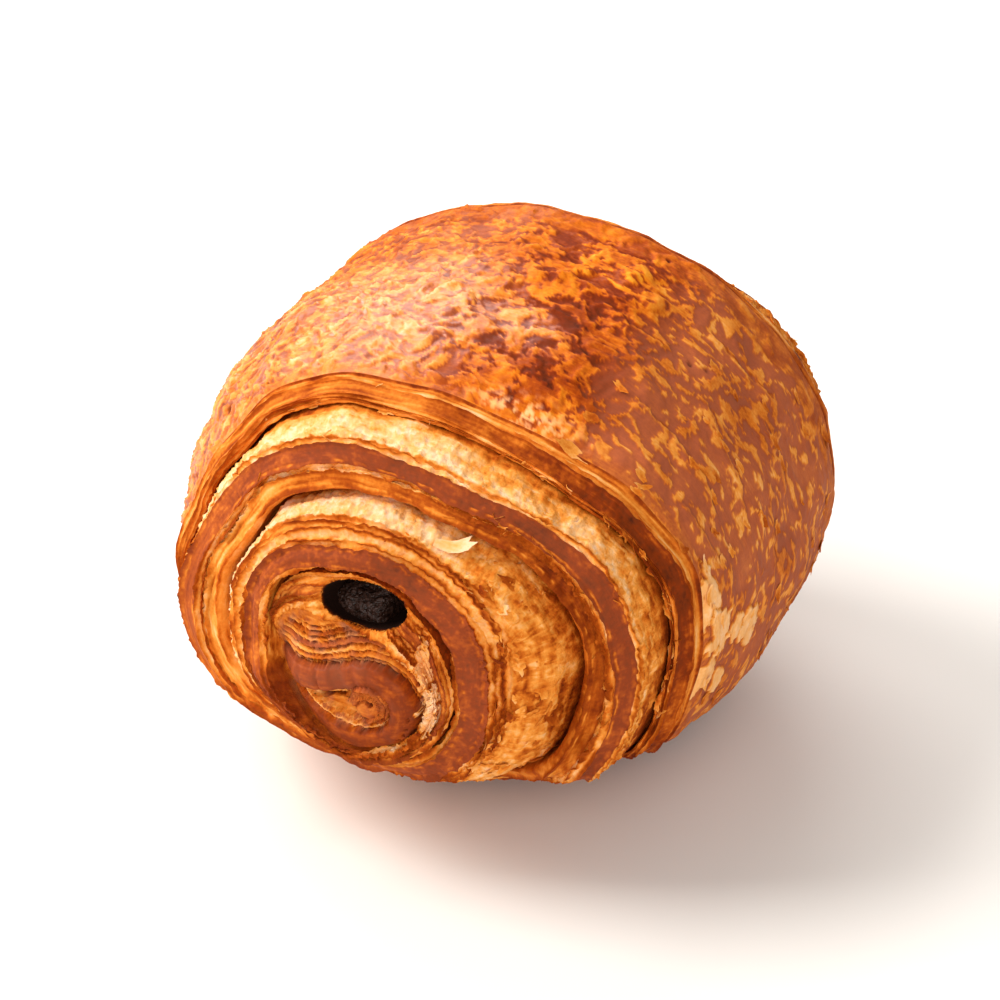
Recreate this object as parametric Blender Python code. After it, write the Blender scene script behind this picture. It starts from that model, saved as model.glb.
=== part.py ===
"""A pain au chocolat: one sheet of laminated dough rolled round a chocolate baton and baked.

The roll lies along Y and its cut end, with the spiral of the sheet, faces -Y. The crust is a
loft of rounded sections. Each cut end is a strip that winds inwards turn by turn, so the grooves
between the turns run on as one spiral, and it closes in a small curled heart. The baton lies in a
channel that opens at both ends. Sizes are in metres, with +Z up and the underside on Z = 0.
"""

from dataclasses import dataclass
from math import radians

import bmesh
import bpy
import numpy as np

MM = 0.001

# Crust: half width and the heights above and below the core of the roll, where it is widest
CRUST_HALF_WIDTH = 39.85 * MM
CRUST_RISE = 33.7 * MM
CRUST_DROP = 33.7 * MM
CORE_HEIGHT = 29.0 * MM
CORE_OFFSET = -1.15 * MM

# Places along the roll: the rims of the crust at both ends, the widest place between them, and
# how far along each crust section stands, as a share of the way from rim to rim
NEAR_RIM_Y = -0.5 * MM
WIDEST_Y = 28.0 * MM
FAR_RIM_Y = 45.5 * MM
TAPER_POWER = 2.5
CRUST_STATIONS = (0.14, 0.3, 0.46, 0.6, 0.74, 0.87)

# How the underside lies on the surface and curves up towards each end
FLOOR_EASE = 0.8 * MM
FLOOR_FLAT = 0.12 * MM
TUCK_TOP = 18.0 * MM
TUCK_BOTTOM = 4.0 * MM
TUCK_DEPTH = 8.5 * MM
TUCK_SIDE_REACH = 24.0 * MM
TUCK_SIDE_GAIN = 0.6
TUCK_FAR_SHARE = 0.75

# The strip that winds inwards: where a turn passes to the next one out, as angles about the roll
HANDOVER_START = radians(-75.0)
HANDOVER_END = radians(-177.0)
INNER_START_SHARE = 0.22
COLUMNS = 48
HEART_RINGS = 10
HEART_RISE_PACE = 2.0
HEART_EASE_PACE = 3.0

# Unevenness: the squarish outer turns, the slanted inner turns and the waves along the layers
SQUARE_SWING = 0.044
SQUARE_PEAK = radians(25.0)
SQUARE_SIDE_SHARE = 0.6
SQUARE_TOP_GAIN = 0.4
SLANT_SWING = 0.09
SLANT_PEAK = radians(-52.0)
LEAN_SWING = 0.035
LEAN_PEAK = radians(75.0)

# Waves of the cut faces: their height, how far from the rim they reach it, how many go round a
# turn, how much each turn shifts them, and the strength of the quick ones beside the slow ones
EDGE_WAVE = 0.35 * MM
EDGE_WAVE_RAMP = 4.0 * MM
SLOW_WAVES = 3.0
SLOW_STEP = 1.7
QUICK_WAVES = 7.0
QUICK_STEP = 2.9
QUICK_SHARE = 0.6

# Swells of the crust: their height, and the rates in radians per metre of a wave that crosses
# the roll and of a weaker one that drifts along it
CRUST_WAVE = 0.3 * MM
SWELL_ACROSS = 420.0
SWELL_ACROSS_LEAN = 150.0
SWELL_UP = 310.0
SWELL_UP_LEAN = 90.0
DRIFT_ALONG = 260.0
DRIFT_UP = 500.0
DRIFT_SHARE = 0.5

# Chocolate baton and the channel round it
BATON_WIDTH = 10.0 * MM
BATON_THICKNESS = 5.0 * MM
BATON_CENTRE = (-0.4 * MM, 35.3 * MM)
BATON_NEAR_Y = -16.6 * MM
BATON_FAR_Y = 60.5 * MM
BATON_EDGE = 0.9 * MM
BATON_EDGE_STEPS = 3
CHANNEL_GAP = 0.3 * MM

# The channel's mouth at each end, as sections from inside out: how proud of the rim each one
# lies, its middle across and above the surface, and its half width and half height
MOUTH_SIDES = 20
MOUTH_STATIONS = (
    (10.0 * MM, -0.4 * MM, 35.6 * MM, 4.6 * MM, 1.9 * MM),
    (14.5 * MM, -0.2 * MM, 36.6 * MM, 5.2 * MM, 2.8 * MM),
    (17.5 * MM, 0.2 * MM, 37.8 * MM, 5.5 * MM, 3.1 * MM),
    (20.0 * MM, 0.8 * MM, 39.0 * MM, 5.8 * MM, 3.2 * MM),
    (24.0 * MM, 1.6 * MM, 40.8 * MM, 6.4 * MM, 3.8 * MM),
)

# Meshes: how close points are merged, how near the surface counts as on it, and the angle
# from which an edge is drawn sharp
MERGE_REACH = 0.02 * MM
REST_REACH = 0.0001 * MM
SHARP_ANGLE = radians(40.0)

DOUGH_COLOUR = (0.46, 0.17, 0.045)
DOUGH_ROUGHNESS = 0.5
CHOCOLATE_COLOUR = (0.022, 0.009, 0.006)
CHOCOLATE_ROUGHNESS = 0.35


@dataclass(frozen=True)
class Outline:
    """A closed line round the roll: a rounded section about its core, with its unevenness."""

    half_width: float
    rise: float
    drop: float
    core_x: float
    core_z: float
    square: float = 1.0
    slant: float = 0.0


@dataclass(frozen=True)
class Turn:
    """One turn of the sheet: its outer edge, and the profile of its cut face.

    The profile runs from the outer edge to the next turn in, as pairs of the share of the way
    across and how far the face stands proud of the crust's rim.
    """

    outer: Outline
    profile: tuple


@dataclass(frozen=True)
class End:
    """A cut end of the roll: where its rim is, which way it faces, its size and its own waves."""

    rim_y: float
    facing: float
    width_scale: float
    depth_scale: float
    core_shift: float
    phase: float


# How much smaller the crust's section is at each rim, and where its core moves to
NEAR_RIM_LOSS = Outline(4.2 * MM, 4.3 * MM, 4.3 * MM, -2.5 * MM, -0.7 * MM, 1.0)
FAR_RIM_LOSS = Outline(1.6 * MM, 0.9 * MM, 0.9 * MM, -0.3 * MM, -0.7 * MM, 0.2)

HEART_EDGE = Outline(10.3 * MM, 7.6 * MM, 9.0 * MM, -0.9 * MM, 27.6 * MM, 0.0, 0.4)
HEART_EDGE_PROUD = 19.4 * MM
HEART_PROUD = 20.4 * MM

# The sheet's inner end: a flat tongue from its left tip, and the curl that it makes round an eye
EYE = (1.6 * MM, 25.4 * MM)
EYE_RADIUS = 2.6 * MM
EYE_RISE = 0.5 * MM
TONGUE_PATH = (
    (-10.0, 27.9), (-6.5, 27.7), (-2.2, 28.6), (1.4, 29.7), (4.4, 28.9),
    (6.0, 26.6), (6.1, 23.8), (4.4, 21.4), (1.4, 20.4), (-2.6, 21.1),
)
TONGUE_HALF_WIDTH = 1.9 * MM
TONGUE_RISE = 1.0 * MM
TONGUE_DIP = 0.7 * MM

INNER_TURNS = (
    Turn(
        Outline(12.6 * MM, 11.8 * MM, 13.4 * MM, -0.2 * MM, 30.4 * MM, 0.0, 1.0),
        (
            (0.0, 17.0 * MM), (0.08, 19.0 * MM), (0.25, 19.8 * MM), (0.4, 20.2 * MM),
            (0.55, 19.6 * MM), (0.7, 20.3 * MM), (0.85, 20.5 * MM), (0.95, 20.0 * MM),
        ),
    ),
    Turn(
        Outline(23.7 * MM, 20.3 * MM, 20.0 * MM, 2.2 * MM, 29.8 * MM, 0.9, 0.0),
        (
            (0.0, 8.0 * MM), (0.05, 12.0 * MM), (0.13, 15.1 * MM), (0.28, 16.8 * MM),
            (0.44, 17.8 * MM), (0.58, 18.2 * MM), (0.73, 19.7 * MM), (0.93, 19.4 * MM),
        ),
    ),
    Turn(
        Outline(32.3 * MM, 27.1 * MM, 27.0 * MM, 1.8 * MM, 29.8 * MM, 1.0, 0.0),
        (
            (0.0, 0.5 * MM), (0.05, 7.0 * MM), (0.17, 10.3 * MM), (0.34, 11.9 * MM),
            (0.51, 12.5 * MM), (0.59, 11.6 * MM), (0.75, 13.5 * MM), (0.95, 12.9 * MM),
        ),
    ),
)
CRUST_PROFILE = (
    (0.0, 0.0 * MM), (0.12, 1.3 * MM), (0.3, 2.7 * MM), (0.5, 3.7 * MM),
    (0.7, 4.3 * MM), (0.8, 4.5 * MM), (0.9, 4.6 * MM), (0.97, 3.9 * MM),
)

NEAR_END = End(NEAR_RIM_Y, -1.0, 1.0, 1.0, 0.0, 0.0)
FAR_END = End(FAR_RIM_Y, 1.0, 1.04, 0.96, -2.0 * MM, 2.1)


def smoothstep(value):
    """Ease from 0 to 1 with level ends."""
    t = np.clip(value, 0.0, 1.0)
    return t * t * (3.0 - 2.0 * t)


def mix(a, b, share):
    """The value that lies a share of the way from one value to another."""
    return a + (b - a) * share


def crust_outline(y):
    """The crust's section at a place along the roll, narrowing from the widest place to a rim."""
    near = y < WIDEST_Y
    reach = WIDEST_Y - NEAR_RIM_Y if near else FAR_RIM_Y - WIDEST_Y
    taper = (abs(y - WIDEST_Y) / reach) ** TAPER_POWER
    loss = NEAR_RIM_LOSS if near else FAR_RIM_LOSS
    return Outline(
        CRUST_HALF_WIDTH - loss.half_width * taper,
        CRUST_RISE - loss.rise * taper,
        CRUST_DROP - loss.drop * taper,
        CORE_OFFSET - loss.core_x * taper,
        CORE_HEIGHT - loss.core_z * taper,
        loss.square * taper,
    )


def blend_outlines(a, b, share):
    """The outline that lies a share of the way from one outline to another."""
    pairs = zip(vars(a).values(), vars(b).values())
    return Outline(*(mix(p, q, share) for p, q in pairs))


def trace(outline, angle):
    """Points of an outline at the given angles, as X and Z, with its unevenness."""
    square = SQUARE_SWING * np.cos(4.0 * (angle - SQUARE_PEAK))
    square = square * (SQUARE_SIDE_SHARE + SQUARE_TOP_GAIN * np.sin(angle))
    slant = SLANT_SWING * np.cos(2.0 * (angle - SLANT_PEAK)) + LEAN_SWING * np.cos(angle - LEAN_PEAK)
    stretch = 1.0 + outline.square * square + outline.slant * slant
    height = np.where(np.sin(angle) > 0.0, outline.rise, outline.drop)
    x = outline.core_x + outline.half_width * stretch * np.cos(angle)
    z = outline.core_z + height * stretch * np.sin(angle)
    return x, z


def settle(z):
    """Press heights near the surface flat on it, with a soft turn up at the sides."""
    eased = FLOOR_EASE * np.logaddexp(0.0, z / FLOOR_EASE)
    return np.maximum(eased - FLOOR_FLAT, 0.0)


def tuck(x, y, z):
    """Draw the lower part of each end back under the roll, most at the very ends."""
    near = smoothstep((WIDEST_Y - y) / (WIDEST_Y - NEAR_RIM_Y))
    near = near * (1.0 + TUCK_SIDE_GAIN * smoothstep(x / TUCK_SIDE_REACH))
    far = smoothstep((y - WIDEST_Y) / (FAR_RIM_Y - WIDEST_Y))
    low = smoothstep((TUCK_TOP - z) / (TUCK_TOP - TUCK_BOTTOM))
    return y + TUCK_DEPTH * low * (near - TUCK_FAR_SHARE * far)


def crust_wave(x, y, z):
    """Shallow swells of the baked crust, about 10 to 20 mm from crest to crest."""
    across = np.sin(SWELL_ACROSS * x + SWELL_ACROSS_LEAN * y)
    up = np.cos(SWELL_UP * z - SWELL_UP_LEAN * y)
    drift = DRIFT_SHARE * np.sin(DRIFT_ALONG * y + DRIFT_UP * z)
    return CRUST_WAVE * (across * up + drift)


def place(outline, angle, y):
    """World points of an outline, waved, tucked under and settled on the surface."""
    x, z = trace(outline, angle)
    swell = 1.0 + crust_wave(x, y, z) / outline.half_width
    x = outline.core_x + (x - outline.core_x) * swell
    z = outline.core_z + (z - outline.core_z) * swell
    return np.stack([x, tuck(x, y, z), settle(z)], axis=-1)


def fit_to_end(outline, end):
    """An outline sized about its core, and moved sideways, for one end of the roll."""
    scale = end.width_scale
    return Outline(
        outline.half_width * scale, outline.rise * scale, outline.drop * scale,
        outline.core_x + end.core_shift, outline.core_z, outline.square, outline.slant,
    )


def turn_tables(end):
    """For each turn from the heart out, its rows as outlines with how proud each one stands."""
    crust = crust_outline(end.rim_y)
    turns = [*INNER_TURNS, Turn(crust, CRUST_PROFILE)]
    rows = []
    inner = fit_to_end(HEART_EDGE, end)
    for turn in turns:
        outer = turn.outer if turn.outer is crust else fit_to_end(turn.outer, end)
        rows.append([(blend_outlines(outer, inner, share), proud) for share, proud in turn.profile])
        inner = outer
    rows.append([rows[-1][0]] * len(CRUST_PROFILE))
    return rows


def row_place(end, tables, turn, row):
    """The outline and height of a row, where the row after the last is the next turn in."""
    if row < len(CRUST_PROFILE):
        return tables[turn][row]
    return tables[turn - 1][0] if turn > 0 else (fit_to_end(HEART_EDGE, end), HEART_EDGE_PROUD)


def handover_share(share, last):
    """How far a column's rows have moved to the next turn out, at a share of the way round."""
    sweep = HANDOVER_START - HANDOVER_END
    late = 1.0 + (share - 1.0) * 2.0 * np.pi / sweep
    return float(np.clip(late, 0.0, 1.0)) if last else float(smoothstep(late))


def edge_wave(end, turn, angle):
    """Waves of the cut face round a turn, each turn with its own."""
    slow = np.sin(SLOW_WAVES * angle + SLOW_STEP * turn + end.phase)
    return slow + QUICK_SHARE * np.sin(QUICK_WAVES * angle + QUICK_STEP * turn)


def strip_point(end, tables, turn, row, share):
    """One point of the strip: a row of a turn, at a share of the way round it.

    In the handover each row moves from its own turn's line to the next one out. The turn next
    to the heart opens from no thickness at its start.
    """
    angle = HANDOVER_END - 2.0 * np.pi * share
    handover = handover_share(share, turn == len(tables) - 2)
    here = row_place(end, tables, turn, row)
    there = row_place(end, tables, turn + 1, row)
    outline = blend_outlines(here[0], there[0], handover)
    proud = mix(here[1], there[1], handover)
    if turn == 0:
        opening = min(share / INNER_START_SHARE, 1.0)
        edge = blend_outlines(tables[0][0][0], tables[1][0][0], handover)
        outline = blend_outlines(edge, outline, opening)
        proud = mix(mix(tables[0][0][1], tables[1][0][1], handover), proud, opening)
    inside = min(proud / EDGE_WAVE_RAMP, 1.0)
    lean = proud * end.depth_scale + EDGE_WAVE * edge_wave(end, turn, angle) * inside
    return place(outline, np.array(angle), end.rim_y + end.facing * lean)


def strip_points(end, tables):
    """All points of the strip, column by column, each from the outer edge of its turn inwards.

    After a full turn the strip's outer edge lies where the inner edge of the turn before it was,
    so past the first turn the last point of a column is the outer point one turn before.
    """
    turns = len(tables) - 1
    rows = len(CRUST_PROFILE)
    points = []
    for column in range(turns * COLUMNS + 1):
        turn = min(column // COLUMNS, turns - 1)
        share = column / COLUMNS - turn
        for row in range(rows):
            points.append(strip_point(end, tables, turn, row, share))
        if turn == 0:
            points.append(strip_point(end, tables, turn, rows, share))
        else:
            points.append(points[(column - COLUMNS) * (rows + 1)])
    return np.array(points)


def strip_faces(columns, rows):
    """Faces of a strip with a number of columns and rows of faces, four corners each."""
    stride = rows + 1
    corners = [column * stride + row for column in range(columns) for row in range(rows)]
    return [(a, a + 1, a + stride + 1, a + stride) for a in corners]


def end_surface(end):
    """Vertices and faces of one cut end, and the numbers of the vertices along its rim."""
    tables = turn_tables(end)
    turns = len(tables) - 1
    rows = len(CRUST_PROFILE)
    verts = strip_points(end, tables)
    faces = strip_faces(turns * COLUMNS, rows)
    stride = rows + 1
    rim = [column * stride for column in range((turns - 1) * COLUMNS, turns * COLUMNS)]
    heart_edge = [column * stride + rows for column in range(COLUMNS)]
    verts, faces = add_heart(end, verts, faces, heart_edge)
    if end.facing > 0.0:
        faces = [face[::-1] for face in faces]
    return verts, faces, rim


def path_distance(x, z, path):
    """The distance in the section plane from each point to a line of straight pieces."""
    nearest = np.full(x.shape, np.inf)
    for (ax, az), (bx, bz) in zip(path[:-1], path[1:]):
        run_x, run_z = bx - ax, bz - az
        along = ((x - ax) * run_x + (z - az) * run_z) / (run_x**2 + run_z**2)
        along = np.clip(along, 0.0, 1.0)
        gap = np.hypot(x - ax - along * run_x, z - az - along * run_z)
        nearest = np.minimum(nearest, gap)
    return nearest


def heart_relief(x, z):
    """How the heart's face rises: a rounded band along the tongue, and a ring about the eye."""
    path = [(px * MM, pz * MM) for px, pz in TONGUE_PATH]
    share = path_distance(x, z, path) / TONGUE_HALF_WIDTH
    band = TONGUE_RISE * np.sqrt(np.clip(1.0 - share**2, 0.0, 1.0)) - TONGUE_DIP * smoothstep(share)
    radius = np.hypot(x - EYE[0], z - EYE[1]) / EYE_RADIUS
    ring = EYE_RISE * np.sin(np.pi * np.clip(radius, 0.0, 1.0))
    return band + ring


def add_heart(end, verts, faces, loop):
    """Close an end with rings that shrink from the strip's inner edge to the eye of the curl."""
    edge = verts[loop]
    centre = np.array([EYE[0] + end.core_shift, 0.0, EYE[1]])
    previous = list(loop)
    for ring in range(1, HEART_RINGS):
        share = ring / HEART_RINGS
        points = edge + (centre - edge) * share
        rise = HEART_EDGE_PROUD + (HEART_PROUD - HEART_EDGE_PROUD) * smoothstep(HEART_RISE_PACE * share)
        rise = rise + heart_relief(points[:, 0] - end.core_shift, points[:, 2])
        target = end.rim_y + end.facing * rise * end.depth_scale
        points[:, 1] = edge[:, 1] + (target - edge[:, 1]) * smoothstep(HEART_EASE_PACE * share)
        base = len(verts)
        verts = np.vstack([verts, points])
        ids = list(range(base, base + COLUMNS))
        for i in range(COLUMNS):
            j = (i + 1) % COLUMNS
            faces.append((previous[i], ids[i], ids[j], previous[j]))
        previous = ids
    eye_rise = HEART_PROUD - TONGUE_DIP
    eye = [centre[0], end.rim_y + end.facing * eye_rise * end.depth_scale, centre[2]]
    verts = np.vstack([verts, eye])
    for i in range(COLUMNS):
        faces.append((previous[i], len(verts) - 1, previous[(i + 1) % COLUMNS]))
    return verts, faces


def crust_rings(near_rim, far_rim):
    """Sections of the crust between the two rims, each a ring of points from the near rim on."""
    angles = HANDOVER_END - 2.0 * np.pi * np.arange(COLUMNS) / COLUMNS
    rings = [near_rim]
    for share in CRUST_STATIONS:
        y = NEAR_RIM_Y + share * (FAR_RIM_Y - NEAR_RIM_Y)
        rings.append(place(crust_outline(y), angles, y))
    return rings + [far_rim]


def pastry_mesh():
    """The whole dough as one closed mesh: near end, crust and far end, with shared rims."""
    near_verts, near_faces, near_rim = end_surface(NEAR_END)
    far_verts, far_faces, far_rim = end_surface(FAR_END)
    rings = crust_rings(near_verts[near_rim], far_verts[far_rim])
    base = len(near_verts)
    verts = [near_verts, far_verts]
    faces = near_faces + [tuple(base + i for i in face) for face in far_faces]
    base += len(far_verts)
    for k in range(len(rings) - 1):
        lower = base + k * COLUMNS
        for i in range(COLUMNS):
            j = (i + 1) % COLUMNS
            faces.append((lower + i, lower + j, lower + COLUMNS + j, lower + COLUMNS + i))
    verts.extend(rings)
    mesh = bpy.data.meshes.new("pastry")
    mesh.from_pydata(np.vstack(verts).tolist(), [], faces)
    work = bmesh.new()
    work.from_mesh(mesh)
    bmesh.ops.remove_doubles(work, verts=work.verts, dist=MERGE_REACH)
    flatten_base(work)
    bmesh.ops.recalc_face_normals(work, faces=work.faces)
    work.to_mesh(mesh)
    work.free()
    return mesh


def flatten_base(work):
    """Make the patch that rests on the surface a single flat face."""
    resting = {f for f in work.faces if all(v.co.z < REST_REACH for v in f.verts)}
    edges = [e for e in work.edges if all(f in resting for f in e.link_faces)]
    bmesh.ops.dissolve_edges(work, edges=edges, use_verts=True, use_face_split=False)


def new_object(name, mesh, collection):
    """An object for a mesh, in a collection."""
    piece = bpy.data.objects.new(name, mesh)
    collection.objects.link(piece)
    return piece


def material(name, colour, roughness):
    """A plain surface of one colour."""
    made = bpy.data.materials.new(name)
    made.use_nodes = True
    shader = made.node_tree.nodes["Principled BSDF"]
    shader.inputs["Base Color"].default_value = (*colour, 1.0)
    shader.inputs["Roughness"].default_value = roughness
    shader.inputs["Metallic"].default_value = 0.0
    return made


def bar_mesh(name, width, thickness, near_y, far_y, edge):
    """A straight bar along Y with rounded long edges, centred on the baton's line."""
    mesh = bpy.data.meshes.new(name)
    work = bmesh.new()
    bmesh.ops.create_cube(work, size=1.0)
    size = (width, far_y - near_y, thickness)
    middle = (BATON_CENTRE[0], (near_y + far_y) / 2.0, BATON_CENTRE[1])
    bmesh.ops.scale(work, vec=size, verts=work.verts)
    bmesh.ops.translate(work, vec=middle, verts=work.verts)
    bmesh.ops.bevel(
        work, geom=list(work.edges), offset=edge, segments=BATON_EDGE_STEPS, profile=0.5,
        affect="EDGES",
    )
    work.to_mesh(mesh)
    work.free()
    return mesh


def mouth_mesh(name, end):
    """The opening at one end: rounded sections that widen and rise from the channel outwards."""
    sides = MOUTH_SIDES
    angle = 2.0 * np.pi * np.arange(sides) / sides
    rings = []
    for proud, x, z, half_width, half_height in MOUTH_STATIONS:
        y = np.full(sides, end.rim_y + end.facing * proud * end.depth_scale)
        ring = [x + half_width * np.cos(angle), y, z + half_height * np.sin(angle)]
        rings.append(np.stack(ring, axis=-1))
    last = (len(rings) - 1) * sides
    faces = [tuple(range(sides)), tuple(range(last + sides - 1, last - 1, -1))]
    for k in range(len(rings) - 1):
        inner = k * sides
        for i in range(sides):
            j = (i + 1) % sides
            faces.append((inner + j, inner + i, inner + sides + i, inner + sides + j))
    mesh = bpy.data.meshes.new(name)
    mesh.from_pydata(np.vstack(rings).tolist(), [], faces)
    work = bmesh.new()
    work.from_mesh(mesh)
    bmesh.ops.recalc_face_normals(work, faces=work.faces)
    work.to_mesh(mesh)
    work.free()
    return mesh


def cut(piece, cutter):
    """Cut one shape out of a piece with a Boolean that stays on it."""
    modifier = piece.modifiers.new("cut_" + cutter.name, "BOOLEAN")
    modifier.operation = "DIFFERENCE"
    modifier.object = cutter
    modifier.solver = "EXACT"
    cutter.hide_render = True
    cutter.display_type = "WIRE"


def centre_on_floor(meshes):
    """Move all the meshes so that the origin is under the middle of the pastry's box."""
    corners = np.array([v.co[:] for v in meshes[0].vertices])
    middle = (corners.min(axis=0) + corners.max(axis=0)) / 2.0
    for mesh in meshes:
        for vertex in mesh.vertices:
            vertex.co.x -= middle[0]
            vertex.co.y -= middle[1]


def main():
    """Build the dough and the baton."""
    for leftover in list(bpy.data.objects):
        bpy.data.objects.remove(leftover, do_unlink=True)
    parts = bpy.data.collections.new("pain_au_chocolat")
    cutters = bpy.data.collections.new("cutters")
    for collection in (parts, cutters):
        bpy.context.scene.collection.children.link(collection)

    gap = 2.0 * CHANNEL_GAP
    dough = pastry_mesh()
    baton = bar_mesh(
        "chocolate_baton", BATON_WIDTH, BATON_THICKNESS, BATON_NEAR_Y, BATON_FAR_Y, BATON_EDGE
    )
    channel = bar_mesh(
        "channel", BATON_WIDTH + gap, BATON_THICKNESS + gap,
        BATON_NEAR_Y - CHANNEL_GAP, BATON_FAR_Y + CHANNEL_GAP, BATON_EDGE,
    )
    near_mouth = mouth_mesh("near_mouth", NEAR_END)
    far_mouth = mouth_mesh("far_mouth", FAR_END)
    centre_on_floor([dough, baton, channel, near_mouth, far_mouth])

    pastry = new_object("pastry", dough, parts)
    pastry.data.materials.append(material("baked_dough", DOUGH_COLOUR, DOUGH_ROUGHNESS))
    filling = new_object("chocolate_baton", baton, parts)
    filling.data.materials.append(
        material("dark_chocolate", CHOCOLATE_COLOUR, CHOCOLATE_ROUGHNESS)
    )
    for mesh in (channel, near_mouth, far_mouth):
        cut(pastry, new_object(mesh.name, mesh, cutters))
    for piece in (pastry, filling):
        piece.data.shade_smooth()
        piece.data.set_sharp_from_angle(angle=SHARP_ANGLE)


main()
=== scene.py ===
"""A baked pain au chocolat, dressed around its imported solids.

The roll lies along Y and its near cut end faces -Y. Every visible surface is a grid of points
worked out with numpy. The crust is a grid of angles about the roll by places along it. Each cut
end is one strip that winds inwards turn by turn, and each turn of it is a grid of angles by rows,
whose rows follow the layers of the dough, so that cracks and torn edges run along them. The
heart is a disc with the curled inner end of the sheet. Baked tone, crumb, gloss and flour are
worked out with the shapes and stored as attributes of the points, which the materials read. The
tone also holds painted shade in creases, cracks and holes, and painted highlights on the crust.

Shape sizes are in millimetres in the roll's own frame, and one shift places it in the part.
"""

import logging
from dataclasses import dataclass, field
from enum import Enum
from math import radians

import bpy
import numpy as np
from mathutils import Matrix, Vector


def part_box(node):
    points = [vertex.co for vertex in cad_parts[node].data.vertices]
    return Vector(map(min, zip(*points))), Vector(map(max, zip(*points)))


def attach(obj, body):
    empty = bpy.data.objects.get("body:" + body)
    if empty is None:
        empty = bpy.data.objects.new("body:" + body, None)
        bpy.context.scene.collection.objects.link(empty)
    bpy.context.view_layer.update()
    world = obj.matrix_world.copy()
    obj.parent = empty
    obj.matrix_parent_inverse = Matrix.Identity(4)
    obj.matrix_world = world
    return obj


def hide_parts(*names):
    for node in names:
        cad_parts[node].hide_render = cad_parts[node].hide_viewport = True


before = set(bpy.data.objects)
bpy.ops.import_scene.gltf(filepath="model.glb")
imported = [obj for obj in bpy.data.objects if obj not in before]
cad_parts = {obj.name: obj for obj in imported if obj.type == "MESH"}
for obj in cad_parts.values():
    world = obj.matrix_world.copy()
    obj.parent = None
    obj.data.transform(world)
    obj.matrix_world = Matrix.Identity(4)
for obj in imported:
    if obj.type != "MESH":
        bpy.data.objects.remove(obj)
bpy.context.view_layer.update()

MM = 0.001
FULL_TURN = 2.0 * np.pi
NOISE_GAIN = 1.7
OCTAVE_STEP = 17.3
FADE_ROWS = 3.0
LOG = logging.getLogger("pain_au_chocolat")
Array = np.ndarray


class Facing(Enum):
    """Which way a cut end looks along Y."""

    NEAR = -1.0
    FAR = 1.0


class Tone:
    """How far dough is baked, from 0 for pale crumb to 1 for dark brown."""

    CREAM = 0.02
    PALE = 0.14
    GOLD = 0.3
    AMBER = 0.45
    TAN = 0.58
    # BROWN and DARK also stand for painted shade in creases, cracks, holes and under the lip.
    BROWN = 0.74
    DARK = 0.9


def smoothstep(value: Array) -> Array:
    """Ease from 0 to 1 with level ends: 3t² - 2t³."""
    t = np.clip(value, 0.0, 1.0)
    return t * t * (3.0 - 2.0 * t)


def mix(a: Array, b: Array, share: Array) -> Array:
    """The value that lies a share of the way from a to b."""
    return a + (b - a) * share


def bell(distance: Array, width: float) -> Array:
    """A smooth bump of height 1: exp(-(distance / width)²)."""
    return np.exp(-((distance / width) ** 2))


def unit(vectors: Array, least: float = 1e-9) -> Array:
    """Vectors made 1 long, or shorter where a vector is under the least length."""
    return vectors / np.maximum(np.linalg.norm(vectors, axis=-1, keepdims=True), least)


def oval_share(points: Array, middle: tuple, size: tuple) -> Array:
    """How far each point lies from a middle, where 1 is on the oval of the given half sizes."""
    return np.linalg.norm((points - np.array(middle)) / np.array(size), axis=-1)


def row_fade(rows: int) -> Array:
    """A share for each row of a grid, from 0 at its first and last rows to 1 further in."""
    return smoothstep(np.minimum(np.arange(rows), np.arange(rows)[::-1]) / FADE_ROWS)[None, :]


@dataclass(frozen=True)
class Noise:
    """Smooth random relief in space, from about -1 to 1, the same on every run.

    Each corner of a cubic lattice holds a random direction. A point's value blends, over the
    eight corners about it, how far the point lies along each corner's direction.
    """

    seed: int
    size: float
    octaves: int = 1
    stretch: tuple = (1.0, 1.0, 1.0)

    def tables(self) -> tuple[Array, Array]:
        """The random numbers behind the relief.

        Returns:
            The shuffled numbers that pick a corner's direction, and the directions.
        """
        draw = np.random.default_rng(self.seed)
        order = np.tile(draw.permutation(256), 2)
        arrows = draw.normal(size=(256, 3)).astype(np.float32)
        return order, arrows / np.linalg.norm(arrows, axis=1, keepdims=True)

    def at(self, points: Array) -> Array:
        """The relief at each point, summed over octaves of half the size and strength.

        Args:
            points: Places in millimetres, with X, Y and Z on the last axis.

        Returns:
            One value for each point.
        """
        order, arrows = self.tables()
        flat = points.reshape(-1, 3) / (self.size * np.array(self.stretch))
        total = np.zeros(len(flat), np.float32)
        for octave in range(self.octaves):
            place = flat * 2.0**octave + OCTAVE_STEP * octave
            total += self.layer(place, order, arrows) * 0.5**octave
        return total.reshape(points.shape[:-1]).astype(float)

    @staticmethod
    def layer(flat: Array, order: Array, arrows: Array) -> Array:
        """One octave of the relief.

        Args:
            flat: Places in lattice steps.
            order: The shuffled numbers that pick a corner's direction.
            arrows: The directions.

        Returns:
            One value for each place.
        """
        base = np.floor(flat)
        local = (flat - base).astype(np.float32)
        cell = base.astype(np.int64) & 255
        fade = local**3 * (local * (local * 6.0 - 15.0) + 10.0)
        value = np.zeros(len(flat), np.float32)
        for corner in np.ndindex(2, 2, 2):
            picked = order[(cell[:, 0] + corner[0]) & 255]
            picked = order[(picked + cell[:, 1] + corner[1]) & 255]
            picked = order[(picked + cell[:, 2] + corner[2]) & 255]
            offset = local - np.array(corner, np.float32)
            weight = np.prod(np.where(corner, fade, 1.0 - fade), axis=1)
            value += weight * np.einsum("ij,ij->i", arrows[picked], offset)
        return value * NOISE_GAIN

    def ridges(self, points: Array) -> Array:
        """Narrow crests, from 0 to 1, where the relief passes through zero."""
        return 1.0 - np.clip(np.abs(self.at(points)) * 2.0, 0.0, 1.0)


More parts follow.
